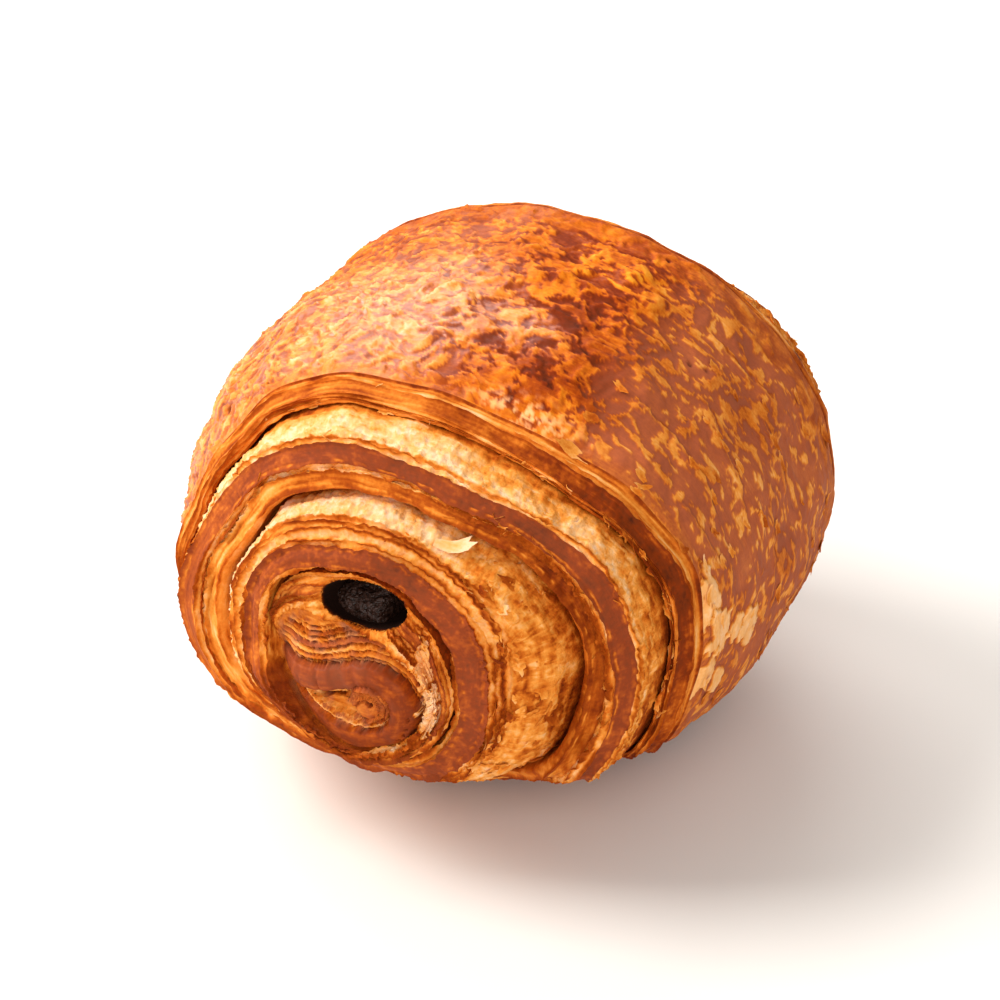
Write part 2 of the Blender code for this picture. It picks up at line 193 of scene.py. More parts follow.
@dataclass(frozen=True)
class Cells:
    """Space divided into rounded cells about jittered lattice points, the same on every run."""

    seed: int
    size: float
    stretch: tuple = (1.0, 1.0, 1.0)

    def at(self, points: Array) -> tuple[Array, Array]:
        """The distance to the nearest cell's centre, and that cell's random number.

        Args:
            points: Places in millimetres, with X, Y and Z on the last axis.

        Returns:
            The distance in lattice steps, and a number from 0 to 1 for the cell.
        """
        draw = np.random.default_rng(self.seed)
        order = np.tile(draw.permutation(256), 2)
        jitter = draw.random((256, 4))
        flat = points.reshape(-1, 3) / (self.size * np.array(self.stretch))
        base = np.floor(flat).astype(np.int64)
        nearest = np.full(len(flat), 9.0)
        number = np.zeros(len(flat))
        for step in np.ndindex(3, 3, 3):
            cell = base + np.array(step) - 1
            picked = order[cell[:, 0] & 255]
            picked = order[(picked + cell[:, 1]) & 255]
            picked = order[(picked + cell[:, 2]) & 255]
            gap = np.linalg.norm(flat - cell - jitter[picked, :3], axis=1)
            closer = gap < nearest
            nearest = np.where(closer, gap, nearest)
            number = np.where(closer, jitter[picked, 3], number)
        shape = points.shape[:-1]
        return nearest.reshape(shape), number.reshape(shape)


@dataclass(frozen=True)
class Outline:
    """A closed line round the roll: a rounded section about its core, with its unevenness."""

    half_width: float
    rise: float
    drop: float
    core_x: float
    core_z: float
    square: float = 1.0
    slant: float = 0.0

    def row(self) -> Array:
        """The outline's numbers in one array."""
        return np.array(list(vars(self).values()), float)


@dataclass(frozen=True)
class Band:
    """One layer of dough on a cut face, from the band before it to its own inner edge.

    Args:
        until: The share of the way across the turn at its inner edge, left, top, right and low.
        tone: How far it is baked.
        crumb: How open and grainy its surface is, from 0 to 1.
        bulge: How far its middle stands proud of its edges, in millimetres.
        crack: How deep the crack at its inner edge is, in millimetres.
        ragged: How far that edge strays, in millimetres.
        lift: How far the whole band stands proud, in millimetres.
        rose: How mauve the baked surface looks, from 0 to 1.
        rows: How many rows of points it has.
        shade: How much darker than its tone it is, left, top, right and low.
    """

    until: tuple
    tone: float
    crumb: float
    bulge: float
    crack: float
    ragged: float = 0.15
    lift: float = 0.0
    rose: float = 0.0
    rows: int = 10
    shade: tuple = (0.0, 0.0, 0.0, 0.0)


@dataclass(frozen=True)
class Turn:
    """One turn of the sheet: its outer edge, the profile across it and its bands of layers."""

    outer: Outline
    profile: tuple
    bands: tuple


@dataclass(frozen=True)
class End:
    """A cut end: where its rim is, which way it faces, its size, its waves and its fineness."""

    name: str
    facing: Facing
    rim_y: float
    width_scale: float
    depth_scale: float
    core_shift: float
    phase: float
    row_share: float


@dataclass
class Patch:
    """Points of a surface with the looks of each, all as arrays of one shape."""

    points: Array
    bake: Array
    crumb: Array
    gloss: Array
    glaze: Array
    rose: Array
    flour: Array
    cocoa: Array
    torn: Array
    grain: Array

    @staticmethod
    def over(points: Array, grain: Array) -> "Patch":
        """A patch over points with plain looks.

        Args:
            points: Places in millimetres, with X, Y and Z on the last axis.
            grain: Places on the flattened sheet in millimetres, for patterns along the layers.

        Returns:
            The new patch.
        """
        blank = [np.zeros(points.shape[:-1]) for _ in range(8)]
        return Patch(points, *blank, grain)

    def looks(self) -> dict[str, Array]:
        """The looks by the names of their attributes."""
        names = ("bake", "crumb", "gloss", "glaze", "rose", "flour", "cocoa")
        return {name: getattr(self, name) for name in names}

    def blend(self, where: Array, **looks: float) -> None:
        """Move looks towards the given values.

        Args:
            where: The share to move by at each point, from 0 to 1.
            **looks: The values, by the names of the looks.
        """
        for name, value in looks.items():
            setattr(self, name, mix(getattr(self, name), value, where))

    def part(self, columns: slice, rows: slice) -> "Patch":
        """A part of a patch on a grid."""
        return Patch(*(value[columns, rows] for value in vars(self).values()))

    @staticmethod
    def join(patches: list["Patch"], axis: int) -> "Patch":
        """One patch from several, put end to end along an axis of their grids.

        Args:
            patches: The patches, in order.
            axis: 0 to put their columns side by side, 1 for their rows.

        Returns:
            The joined patch, with copies of their arrays.
        """
        values = zip(*(vars(patch).values() for patch in patches))
        return Patch(*(np.concatenate(value, axis=axis) for value in values))


@dataclass(frozen=True)
class Roll:
    """The form of the whole roll, the same as the solids': its sections, taper and underside."""

    half_width: float = 39.85
    rise: float = 33.7
    drop: float = 33.7
    core_x: float = -1.15
    core_z: float = 29.0
    widest_y: float = 28.0
    near_rim_y: float = -0.5
    far_rim_y: float = 45.5
    taper_power: float = 2.5
    near_loss: Outline = Outline(4.2, 4.3, 4.3, -2.5, -0.7, 1.0)
    far_loss: Outline = Outline(1.6, 0.9, 0.9, -0.3, -0.7, 0.2)
    floor_ease: float = 0.8
    floor_flat: float = 0.12
    tuck_top: float = 18.0
    tuck_bottom: float = 4.0
    tuck_depth: float = 8.5
    tuck_far_share: float = 0.75
    tuck_side_reach: float = 24.0
    tuck_side_gain: float = 0.6
    square_swing: float = 0.044
    square_peak: float = radians(25.0)
    slant_swing: float = 0.09
    slant_peak: float = radians(-52.0)
    lean_swing: float = 0.035
    lean_peak: float = radians(75.0)
    swell: float = 0.3
    columns: int = 640
    fine_share: float = 0.66
    fine_ease: float = 0.08
    coarse_density: float = 0.5
    start_angle: float = radians(-177.0)

    def column_shares(self) -> Array:
        """Shares of a full turn at the columns, closer together where the roll is seen.

        The columns' density is 1 and eases to a lower one past a share of the turn, and its
        running sum is divided evenly.

        Returns:
            The shares from 0 to 1, one more than there are columns.
        """
        even = np.linspace(0.0, 1.0, 2001)
        density = mix(1.0, self.coarse_density, smoothstep((even - self.fine_share) / self.fine_ease))
        reach = np.concatenate([[0.0], np.cumsum((density[1:] + density[:-1]) / 2.0)])
        return np.interp(np.linspace(0.0, reach[-1], self.columns + 1), reach, even)

    def angles(self) -> Array:
        """Angles about the roll at the columns, which run down from the start angle."""
        return self.start_angle - FULL_TURN * self.column_shares()

    def crust_outline(self, y: Array) -> Array:
        """The crust's section at places along the roll, narrowing towards each rim.

        Args:
            y: Places along the roll.

        Returns:
            An outline's seven numbers for each place, on the last axis.
        """
        near = y < self.widest_y
        reach = np.where(near, self.widest_y - self.near_rim_y, self.far_rim_y - self.widest_y)
        taper = (np.abs(y - self.widest_y) / reach) ** self.taper_power
        loss = np.where(near[..., None], self.near_loss.row(), self.far_loss.row())
        full = Outline(self.half_width, self.rise, self.drop, self.core_x, self.core_z, 0.0).row()
        change = loss * np.array([-1.0, -1.0, -1.0, -1.0, -1.0, 1.0, 0.0])
        return full + change * taper[..., None]

    def trace(self, lines: Array, angle: Array) -> tuple[Array, Array]:
        """Points of outlines at the given angles, with their unevenness.

        Squareness swings with the cosine of four times the angle, and most above the core. The
        slant swings with the cosines of the angle and of twice the angle.

        Args:
            lines: An outline's seven numbers for each point, on the last axis.
            angle: Angles about the roll.

        Returns:
            The points' X and Z.
        """
        swing = np.cos(4.0 * (angle - self.square_peak)) * (0.6 + 0.4 * np.sin(angle))
        slant = self.slant_swing * np.cos(2.0 * (angle - self.slant_peak))
        slant = slant + self.lean_swing * np.cos(angle - self.lean_peak)
        stretch = 1.0 + lines[..., 5] * self.square_swing * swing + lines[..., 6] * slant
        height = np.where(np.sin(angle) > 0.0, lines[..., 1], lines[..., 2])
        x = lines[..., 3] + lines[..., 0] * stretch * np.cos(angle)
        z = lines[..., 4] + height * stretch * np.sin(angle)
        return x, z

    def settle(self, z: Array) -> Array:
        """Press heights near the surface flat on it, with a soft turn up at the sides."""
        eased = self.floor_ease * np.logaddexp(0.0, z / self.floor_ease)
        return np.maximum(eased - self.floor_flat, 0.0)

    def tuck(self, x: Array, y: Array, z: Array) -> Array:
        """Draw the lower part of each end back under the roll, most at the very ends.

        Args:
            x: Places across the roll.
            y: Places along it, before they are drawn back.
            z: Heights.

        Returns:
            The new places along the roll.
        """
        near = smoothstep((self.widest_y - y) / (self.widest_y - self.near_rim_y))
        near = near * (1.0 + self.tuck_side_gain * smoothstep(x / self.tuck_side_reach))
        far = smoothstep((y - self.widest_y) / (self.far_rim_y - self.widest_y))
        low = smoothstep((self.tuck_top - z) / (self.tuck_top - self.tuck_bottom))
        return y + self.tuck_depth * low * (near - self.tuck_far_share * far)

    def place(self, lines: Array, angle: Array, y: Array) -> Array:
        """Points of outlines, waved, tucked under and settled on the surface.

        Args:
            lines: An outline's seven numbers for each point, on the last axis.
            angle: Angles about the roll.
            y: Places along it.

        Returns:
            Points with X, Y and Z on the last axis.
        """
        x, z = self.trace(lines, angle)
        wave = np.sin(0.42 * x + 0.15 * y) * np.cos(0.31 * z - 0.09 * y)
        wave = self.swell * (wave + 0.5 * np.sin(0.26 * y + 0.5 * z))
        swell = 1.0 + wave / lines[..., 0]
        x = lines[..., 3] + (x - lines[..., 3]) * swell
        z = lines[..., 4] + (z - lines[..., 4]) * swell
        return np.stack([x, self.tuck(x, y, z), self.settle(z)], axis=-1)


ROLL = Roll()

HEART_EDGE = Outline(10.3, 7.6, 9.0, -0.9, 27.6, 0.0, 0.4)
HEART_EDGE_PROUD = 19.4
HEART_PROUD = 20.4

HEART_TURN = Turn(
    Outline(12.6, 11.8, 13.4, -0.2, 30.4, 0.0, 1.0),
    ((0.0, 17.0), (0.08, 19.0), (0.25, 19.8), (0.4, 20.2), (0.55, 19.6), (0.7, 20.3), (0.85, 20.5),
     (0.95, 20.0), (1.0, 19.4)),
    (
        Band((0.12, 0.1, 0.1, 0.12), Tone.BROWN, 0.1, 0.1, 0.2, rows=16, shade=(-0.16, 0.0, 0.0, 0.0)),
        Band((0.24, 0.18, 0.18, 0.22), Tone.GOLD, 0.3, 0.12, 0.5, 0.2, rows=9),
        Band((0.36, 0.28, 0.28, 0.36), Tone.AMBER, 0.15, 0.15, 0.7, 0.2, 0.05, rows=9,
             shade=(-0.1, 0.0, 0.0, 0.0)),
        Band((0.58, 0.46, 0.62, 0.7), Tone.TAN, 0.05, 0.2, 0.5, 0.1, rose=0.2, rows=15,
             shade=(-0.14, -0.04, 0.0, 0.0)),
        Band((0.66, 0.56, 0.7, 0.78), Tone.GOLD, 0.5, 0.15, 0.9, 0.25, 0.1, rows=11),
        Band((0.76, 0.66, 0.78, 0.86), Tone.AMBER, 0.3, 0.15, 0.8, 0.2, 0.1, rows=11),
        Band((0.9, 0.9, 0.95, 0.95), Tone.GOLD, 0.7, 0.15, 0.6, 0.3, -0.1, rows=17,
             shade=(0.1, 0.1, -0.26, -0.24)),
        Band((1.0, 1.0, 1.0, 1.0), Tone.AMBER, 0.3, 0.0, 0.0, rows=8),
    ),
)
INNER_TURN = Turn(
    Outline(23.7, 20.3, 20.0, 2.2, 29.8, 0.9, 0.0),
    ((0.0, 8.0), (0.05, 12.0), (0.13, 15.1), (0.28, 16.8), (0.44, 17.8), (0.58, 18.2), (0.73, 19.7),
     (0.93, 19.4), (1.0, 17.0)),
    (
        Band((0.2, 0.235, 0.36, 0.52), Tone.CREAM, 0.9, 0.35, 0.25, 0.25, rows=28,
             shade=(0.04, 0.06, 0.38, 0.36)),
        Band((0.26, 0.29, 0.4, 0.56), Tone.GOLD, 0.3, 0.2, 0.5, 0.2, 0.12, rows=8),
        Band((0.36, 0.37, 0.44, 0.59), Tone.AMBER, 0.15, 0.1, 0.5, 0.2, -0.1, rows=8,
             shade=(0.0, 0.0, 0.25, 0.2)),
        Band((0.5, 0.51, 0.53, 0.63), Tone.PALE, 0.8, 0.15, 0.6, 0.2, 0.0, rows=8,
             shade=(0.1, 0.05, 0.1, 0.1)),
        Band((0.6, 0.6, 0.62, 0.68), Tone.GOLD + 0.04, 0.3, 0.15, 0.65, 0.25, 0.1, rows=8),
        Band((0.82, 0.92, 0.94, 0.92), Tone.BROWN, 0.02, 0.35, 0.3, 0.1, 0.1, 0.3, 16,
             (-0.1, 0.06, 0.03, 0.0)),
        Band((0.91, 0.96, 0.97, 0.96), Tone.GOLD, 0.3, 0.2, 0.7, 0.2, 0.1, rows=10),
        Band((1.0, 1.0, 1.0, 1.0), Tone.AMBER, 0.2, 0.1, 0.0, rows=10),
    ),
)
SECOND_TURN = Turn(
    Outline(32.3, 27.1, 27.0, 1.8, 29.8, 1.0, 0.0),
    ((0.0, 0.5), (0.05, 7.0), (0.17, 10.3), (0.34, 11.9), (0.51, 12.5), (0.59, 11.6), (0.75, 13.5),
     (0.95, 12.9), (1.0, 8.0)),
    (
        Band((0.15, 0.175, 0.19, 0.17), Tone.CREAM, 1.0, 0.35, 0.25, 0.3, rows=30,
             shade=(0.12, 0.04, 0.24, 0.36)),
        Band((0.175, 0.195, 0.205, 0.19), Tone.GOLD, 0.5, 0.15, 0.45, 0.3, 0.15, rows=7),
        Band((0.19, 0.265, 0.225, 0.21), Tone.PALE, 0.9, 0.05, 0.2, 0.2, -0.1, rows=8),
        Band((0.47, 0.52, 0.5, 0.43), Tone.BROWN, 0.02, 0.35, 0.6, 0.12, 0.05, 0.28, 16,
             (-0.18, 0.06, 0.06, -0.02)),
        Band((0.56, 0.57, 0.56, 0.52), Tone.GOLD, 0.6, 0.1, 0.9, 0.3, 0.0, rows=8,
             shade=(-0.08, 0.0, 0.0, 0.0)),
        Band((0.66, 0.68, 0.63, 0.61), Tone.PALE, 0.9, 0.15, 0.3, 0.15, -0.2, rows=10,
             shade=(0.1, 0.12, 0.16, 0.12)),
        Band((0.84, 0.86, 0.82, 0.8), Tone.GOLD, 0.15, 0.35, 0.5, 0.12, 0.15, rows=9,
             shade=(0.02, 0.3, 0.36, 0.26)),
        Band((1.0, 1.0, 1.0, 1.0), Tone.TAN, 0.1, 0.25, 0.0, rows=8, shade=(-0.28, -0.1, 0.0, 0.0)),
    ),
)
LIP_PROFILE = (
    (0.0, 0.0), (0.12, 1.3), (0.3, 2.7), (0.5, 3.7), (0.7, 4.3), (0.8, 4.5), (0.9, 4.6),
    (0.97, 3.9), (1.0, 0.5),
)
LIP_BANDS = (
    Band((0.12, 0.12, 0.2, 0.16), Tone.GOLD + 0.06, 0.1, 0.3, 0.2, 0.3, 0.15, rows=14,
         shade=(-0.08, -0.02, 0.0, 0.0)),
    Band((0.24, 0.2, 0.28, 0.22), Tone.AMBER, 0.1, 0.15, 0.3, 0.25, 0.05, rows=8,
         shade=(-0.12, -0.06, 0.0, 0.0)),
    Band((0.5, 0.62, 0.74, 0.6), Tone.BROWN - 0.02, 0.12, 0.3, 0.3, 0.2, rows=20,
         shade=(-0.32, -0.16, 0.1, -0.06)),
    Band((0.6, 0.74, 0.82, 0.72), Tone.AMBER, 0.15, 0.12, 0.4, 0.2, rows=8),
    Band((0.74, 0.82, 0.87, 0.8), Tone.BROWN, 0.05, 0.1, 0.35, 0.2, rows=10,
         shade=(-0.28, -0.16, 0.0, 0.0)),
    Band((0.86, 0.9, 0.92, 0.88), Tone.AMBER, 0.15, 0.1, 0.3, 0.25, rows=10),
    Band((0.95, 0.95, 0.95, 0.95), Tone.TAN, 0.1, 0.05, 0.1, 0.15, rows=10),
    # The last band, the wall that runs down under the lip into the groove, is painted dark: painted shade.
    Band((1.0, 1.0, 1.0, 1.0), Tone.DARK, 0.1, 0.0, 0.0, rows=16),
)

NEAR_END = End("near", Facing.NEAR, ROLL.near_rim_y, 1.0, 1.0, 0.0, 0.0, 1.0)
FAR_END = End("far", Facing.FAR, ROLL.far_rim_y, 1.04, 0.96, -2.0, 2.1, 0.5)


def grid_normals(points: Array) -> Array:
    """Unit normals of a cut end's grid, which point to the far end of the roll at both ends.

    Args:
        points: A grid whose columns run clockwise and whose rows run inwards.

    Returns:
        One normal for each point: out of the face at the far end, and into it at the near one.
    """
    return unit(np.cross(np.gradient(points, axis=0), np.gradient(points, axis=1)))


def rounded(x: Array, places: Array, values: Array, reach: float = 0.03) -> Array:
    """Straight pieces through given points, with their corners rounded by a short average.

    Args:
        x: Where the pieces are read.
        places: The given points' places, from 0 to 1.
        values: The given points' values.
        reach: How far to each side the average goes.

    Returns:
        The values at x.
    """
    shifts = np.linspace(-reach, reach, 5)
    return np.mean([np.interp(np.clip(x + s, 0.0, 1.0), places, values) for s in shifts], axis=0)


@dataclass
class CutEnd:
    """One cut end of the roll: the strip of layers that winds from the crust's lip to the heart."""

    end: End
    handover_start: float = radians(-75.0)
    opening_share: float = 0.22
    edge_wave: float = 0.35
    turn_width: float = 8.0
    crack_width: float = 0.14
    stations: tuple = (0.03, 0.25, 0.42, 0.56)
    sheet_radius: float = 25.0
    share_reach: float = 0.012
    row_crowding: float = 0.09
    # How far from a turn's outer edge the painted shade under the overhang reaches, and how strong it is.
    crease_share: float = 0.05
    crease_ease: float = 0.03
    shade_share: float = 0.13
    shade_ease: float = 0.08
    shade_gain: float = 0.1
    torn_gap: float = 0.34
    narrow_width: float = 2.5
    fine: Noise = Noise(5, 0.6, 3)
    coarse: Noise = Noise(6, 1.5, 2)
    pores: Noise = Noise(7, 1.1, 2)
    leaves: Noise = Noise(8, 0.6, 2, (9.0, 1.0, 1.0))
    slow: Noise = Noise(9, 6.0, 2)
    fluff: Cells = Cells(25, 1.0, (1.3, 1.0, 1.0))

    def fit(self, outline: Outline) -> Array:
        """An outline's numbers, sized about its core and moved sideways for this end.

        Args:
            outline: The outline, as at the near end.

        Returns:
            Its seven numbers at this end.
        """
        row = outline.row()
        row[:3] *= self.end.width_scale
        row[3] += self.end.core_shift
        return row

    def turns(self) -> list[Turn]:
        """The turns from the heart out, the last of them the crust's own lip."""
        rim = Outline(*ROLL.crust_outline(np.array(self.end.rim_y)))
        return [HEART_TURN, INNER_TURN, SECOND_TURN, Turn(rim, LIP_PROFILE, LIP_BANDS)]

    def outer_line(self, number: int) -> Array:
        """The outline at the outer edge of a turn.

        Args:
            number: Which turn, counted from the heart, or -1 for the heart itself.

        Returns:
            The outline's seven numbers at this end.
        """
        if number < 0:
            return self.fit(HEART_EDGE)
        turns = self.turns()
        turn = turns[number]
        return turn.outer.row() if turn is turns[-1] else self.fit(turn.outer)

    def row_counts(self, turn: Turn) -> list[int]:
        """How many rows each band of a turn has at this end's fineness."""
        return [max(4, round(band.rows * self.end.row_share)) for band in turn.bands]

    def rows_across(self, number: int, ahead: int = 0) -> dict[str, Array]:
        """What each row of a turn holds: its share across, how proud it is and its looks.

        Rows are spaced by the length of the profile, closer at the edges of each band. A
        crack's depth falls off with the distance from the band's edge as a bell.

        Args:
            number: Which turn, counted from the heart.
            ahead: 1 where the turn before runs into this one, so that their patterns join.

        Returns:
            Arrays by name, for each column and row, or for each row alone.
        """
        turn = self.turns()[number]
        share, proud = np.array(turn.profile).T
        reach = np.concatenate(
            [[0.0], np.cumsum(np.hypot(np.diff(share) * self.turn_width, np.diff(proud)))]
        )
        columns = ROLL.column_shares()
        counts = self.row_counts(turn)
        along = self.sheet_radius * FULL_TURN * (columns + number - ahead)
        wander = self.band_wander(along, len(turn.bands))
        edges = [np.zeros(len(columns))]
        for k, band in enumerate(turn.bands):
            edge = np.interp(columns, self.stations, band.until, period=1.0)
            edge = np.interp(edge, share, reach)
            if k < len(turn.bands) - 1:
                edge = edge + wander[k] * band.ragged
            edges.append(np.minimum(edge, reach[-1]))
        edges = np.maximum.accumulate(np.array(edges), axis=0)
        place, local, index = [], [], []
        for k, count in enumerate(counts):
            t = np.arange(count + (k == len(counts) - 1)) / count
            t = t - self.row_crowding * np.sin(FULL_TURN * t)
            place.append(edges[k][:, None] + (edges[k + 1] - edges[k])[:, None] * t)
            local.append(t)
            index.append(np.full(len(t), k))
        place = np.concatenate(place, axis=1)
        local, index = np.concatenate(local), np.concatenate(index)
        rows = {
            "share": rounded(place / reach[-1], reach / reach[-1], share, self.share_reach),
            "proud": rounded(place / reach[-1], reach / reach[-1], proud),
            "local": local,
        }
        rows["share"][:, [0, -1]] = 0.0, 1.0
        rows["proud"][:, [0, -1]] = proud[[0, -1]]
        rows["cracks"], rows["torn"] = self.cracks(turn, along, place, edges)
        for name in ("tone", "crumb", "bulge", "lift", "rose"):
            rows[name] = np.array([getattr(band, name) for band in turn.bands])[index]
        shades = [np.interp(columns, self.stations, band.shade, period=1.0) for band in turn.bands]
        rows["tone"] = rows["tone"] + np.array(shades).T[:, index]
        return rows

    def band_wander(self, along: Array, bands: int) -> Array:
        """How each band's edge strays along the turn: slow waves with a fine ragged tear.

        Args:
            along: Places along the turn in millimetres, one for each column.
            bands: How many bands the turn has.

        Returns:
            One row for each band and one value for each column.
        """
        wanders = []
        for k in range(bands):
            lane = np.full_like(along, 3.7 * k + 11.0 * self.end.phase)
            line = np.stack([along, lane * 5.0, lane], axis=-1)
            slow = Noise(31 + k, 9.0).at(line)
            fine = Noise(71 + k, 1.3, 2).at(line)
            wanders.append(1.2 * slow + 1.1 * fine)
        return np.array(wanders)

    def cracks(self, turn: Turn, along: Array, place: Array, edges: Array) -> tuple:
        """The cracks between bands, with torn edges on both sides of each.

        Args:
            turn: The turn of the sheet.
            along: Places along it in millimetres, one for each column.
            place: How far across it each point lies, measured along its profile.
            edges: How far across it each band's edges lie, for each column.

        Returns:
            How far the cracks lower each point, and where it is torn, from 0 to 1.
        """
        depth = np.zeros(place.shape)
        torn = np.zeros(place.shape)
        for k, band in enumerate(turn.bands[:-1]):
            lane = np.full_like(along, 4.1 * k + self.end.phase)
            line = np.stack([along, lane * 7.0, lane], axis=-1)
            open_share = smoothstep(0.62 + 0.9 * Noise(131 + k, 7.0, 3).at(line))
            gap = place - edges[k + 1][:, None]
            width = self.crack_width * (0.7 + 0.7 * open_share)
            depth += band.crack * open_share[:, None] * bell(gap, width[:, None])
            for seed, share, away, wide in ((151, 1.0, gap + self.torn_gap, 0.17),
                                            (171, 0.6, gap - self.torn_gap, 0.15)):
                jagged = smoothstep(0.5 + 1.6 * Noise(seed + k, 1.6, 2).at(line))
                torn += share * min(band.crack * 2.0, 1.0) * jagged[:, None] * bell(away, wide)
        return depth, np.minimum(torn, 1.0)

    def strip(self, number: int) -> Patch:
        """One turn of the strip as a grid of columns and rows, before fine relief.

        In the handover each row moves from its own turn's line to the next one out, so after a
        full turn the strip's outer edge lies where the inner edge of the turn before it was.

        Args:
            number: Which turn, counted from the heart.

        Returns:
            The patch, with its looks set from the bands.
        """
        shares = ROLL.column_shares()
        angle = ROLL.angles()[:, None]
        sweep = abs(ROLL.start_angle - self.handover_start)
        late = 1.0 + (shares - 1.0) * FULL_TURN / sweep
        last = number == len(self.turns()) - 1
        handover = (np.clip(late, 0.0, 1.0) if last else smoothstep(late))[:, None]
        here = self.sides(number)
        there = here if last else self.sides(number + 1, 1)
        next_lines = self.outer_line(number) if last else there["lines"]
        lines = mix(here["lines"], next_lines, handover[..., None])
        proud = mix(here["proud"], 0.0 if last else there["proud"], handover)
        if number == 0:
            opening = np.minimum(shares / self.opening_share, 1.0)[:, None]
            edge = mix(self.outer_line(0), self.outer_line(1), handover)[:, None, :]
            edge_proud = mix(HEART_TURN.profile[0][1], INNER_TURN.profile[0][1], handover)
            lines = mix(edge, lines, opening[..., None])
            proud = mix(edge_proud, proud, opening)
        wave = mix(self.wave(angle, number), self.wave(angle, number + 1), 0.0 if last else handover)
        inside = np.minimum(proud / 4.0, 1.0)
        lean = self.end.facing.value * (proud * self.end.depth_scale + self.edge_wave * wave * inside)
        points = ROLL.place(lines, angle, self.end.rim_y + lean)
        steps = np.linalg.norm(np.diff(points, axis=1), axis=-1)
        across = np.concatenate([np.zeros((len(shares), 1)), np.cumsum(steps, axis=1)], axis=1)
        along = self.sheet_radius * FULL_TURN * (shares[:, None] + number)
        grain = np.stack(np.broadcast_arrays(along, across, 0.0), axis=-1)
        patch = Patch.over(points, grain)
        names = ("tone", "crumb", "rose", "relief", "cracks", "torn")
        patch.bake, patch.crumb, patch.rose, relief, depth, torn = (
            mix(here[name], there[name], handover) for name in names
        )
        if number == 0:
            relief = relief * opening
        # Painted shade: rows by the turn's outer edge, under the overhang of the turn outside, are darkened,
        # and the first of them go brown.
        crease = mix(here["crease"], 0.0 if last else there["crease"], handover)
        shaded = mix(here["shaded"], 0.0 if last else there["shaded"], handover)
        patch.bake = patch.bake + self.shade_gain * shaded
        patch.blend(0.8 * crease, bake=Tone.BROWN, crumb=0.2)
        if self.end.facing is Facing.FAR and number == 2:
            outer = smoothstep((0.3 - here["share"]) / 0.1)
            outer = outer * smoothstep(shares / 0.16)[:, None] * (1.0 - handover)
            patch.blend(outer, bake=Tone.AMBER)
        return self.carve(patch, relief, depth, torn)

    def wave(self, angle: Array, number: int) -> Array:
        """How far a turn's edge waves along the roll: sines of 3 and 7 times the angle."""
        slow = np.sin(3.0 * angle + 1.7 * number + self.end.phase)
        return slow + 0.6 * np.sin(7.0 * angle + 2.9 * number)

    def sides(self, number: int, ahead: int = 0) -> dict[str, Array]:
        """The outlines, heights and looks of a turn's rows, before the handover.

        Args:
            number: Which turn, counted from the heart.
            ahead: 1 where the turn before runs into this one.

        Returns:
            What rows_across gives, with the rows' outlines and relief, and the painted shade
            of the crease and of the rows near the outer edge.
        """
        rows = self.rows_across(number, ahead)
        outer, inner = self.outer_line(number), self.outer_line(number - 1)
        rows["lines"] = outer + (inner - outer) * rows["share"][..., None]
        swell = 4.0 * rows["local"] * (1.0 - rows["local"])
        rows["relief"] = rows["bulge"] * (swell - 0.6) + rows["lift"]
        rows["crease"] = smoothstep((self.crease_share - rows["share"]) / self.crease_ease)
        rows["shaded"] = smoothstep((self.shade_share - rows["share"]) / self.shade_ease)
        return rows

    def carve(self, patch: Patch, relief: Array, depth: Array, torn: Array) -> Patch:
        """Give a turn its relief: band shapes, cracks, torn edges, open crumb and fine leaves.

        All of it is measured along the grid's normals, so at the near end, where they point
        into the face, what stands proud at the far end is sunk, and the cracks are raised.

        Args:
            patch: The turn's plain patch, whose points and looks are changed.
            relief: How far each point's band is lifted.
            depth: How far the cracks lower each point.
            torn: Where it is torn, from 0 to 1.

        Returns:
            The same patch.
        """
        points = patch.points
        fine, coarse, slow = (noise.at(points) for noise in (self.fine, self.coarse, self.slow))
        pores = self.pores.ridges(points) ** 4
        leaves = self.leaves.at(patch.grain)
        leafy = bell(patch.bake - 0.42, 0.16)
        fluff, _ = self.fluff.at(patch.grain + 0.5 * fine[..., None])
        fluff = 0.6 - fluff
        rough = patch.crumb * (0.26 * coarse + 0.16 * fine - 0.2 * pores + 0.4 * fluff)
        brown = smoothstep((patch.bake - 0.56) / 0.1) * (1.0 - patch.crumb)
        smooth = (1.0 - patch.crumb) * (0.02 * coarse + (0.02 + 0.09 * leafy) * leaves)
        smooth = smooth + brown * (0.04 * coarse + 0.03 * fine)
        lift = relief * (1.0 + 0.5 * slow) + rough + smooth + 0.14 * slow - depth
        lift = lift + torn * (0.14 + 0.12 * fine)
        lift = lift * row_fade(points.shape[1])
        width = np.linalg.norm(points[:, -1] - points[:, 0], axis=-1)[:, None]
        lift = lift * smoothstep(width / self.narrow_width)
        patch.points = points + grid_normals(points) * lift[..., None]
        patch.points[..., 2] = np.maximum(patch.points[..., 2], 0.0)
        crack_shade = np.clip(depth / 0.45, 0.0, 1.0)
        patch.bake = patch.bake + 0.12 * slow + patch.crumb * (0.1 * coarse + 0.1 * pores - 0.35 * fluff)
        patch.bake = patch.bake + (0.06 + 0.2 * leafy) * leaves + brown * (0.09 * coarse + 0.1 * fine)
        patch.blend(0.75 * torn, bake=Tone.GOLD - 0.06, crumb=0.6, rose=0.0)
        # Painted shade: the bottoms of the cracks are darkened towards brown, and lose their gloss.
        patch.blend(0.7 * crack_shade, bake=Tone.BROWN + 0.04)
        patch.gloss = np.clip(0.4 - patch.crumb, 0.0, 1.0) * (1.0 - crack_shade)
        patch.flour = 0.6 * patch.crumb * smoothstep(0.2 + coarse) * smoothstep((0.32 - patch.bake) / 0.2)
        patch.torn = torn
        return patch


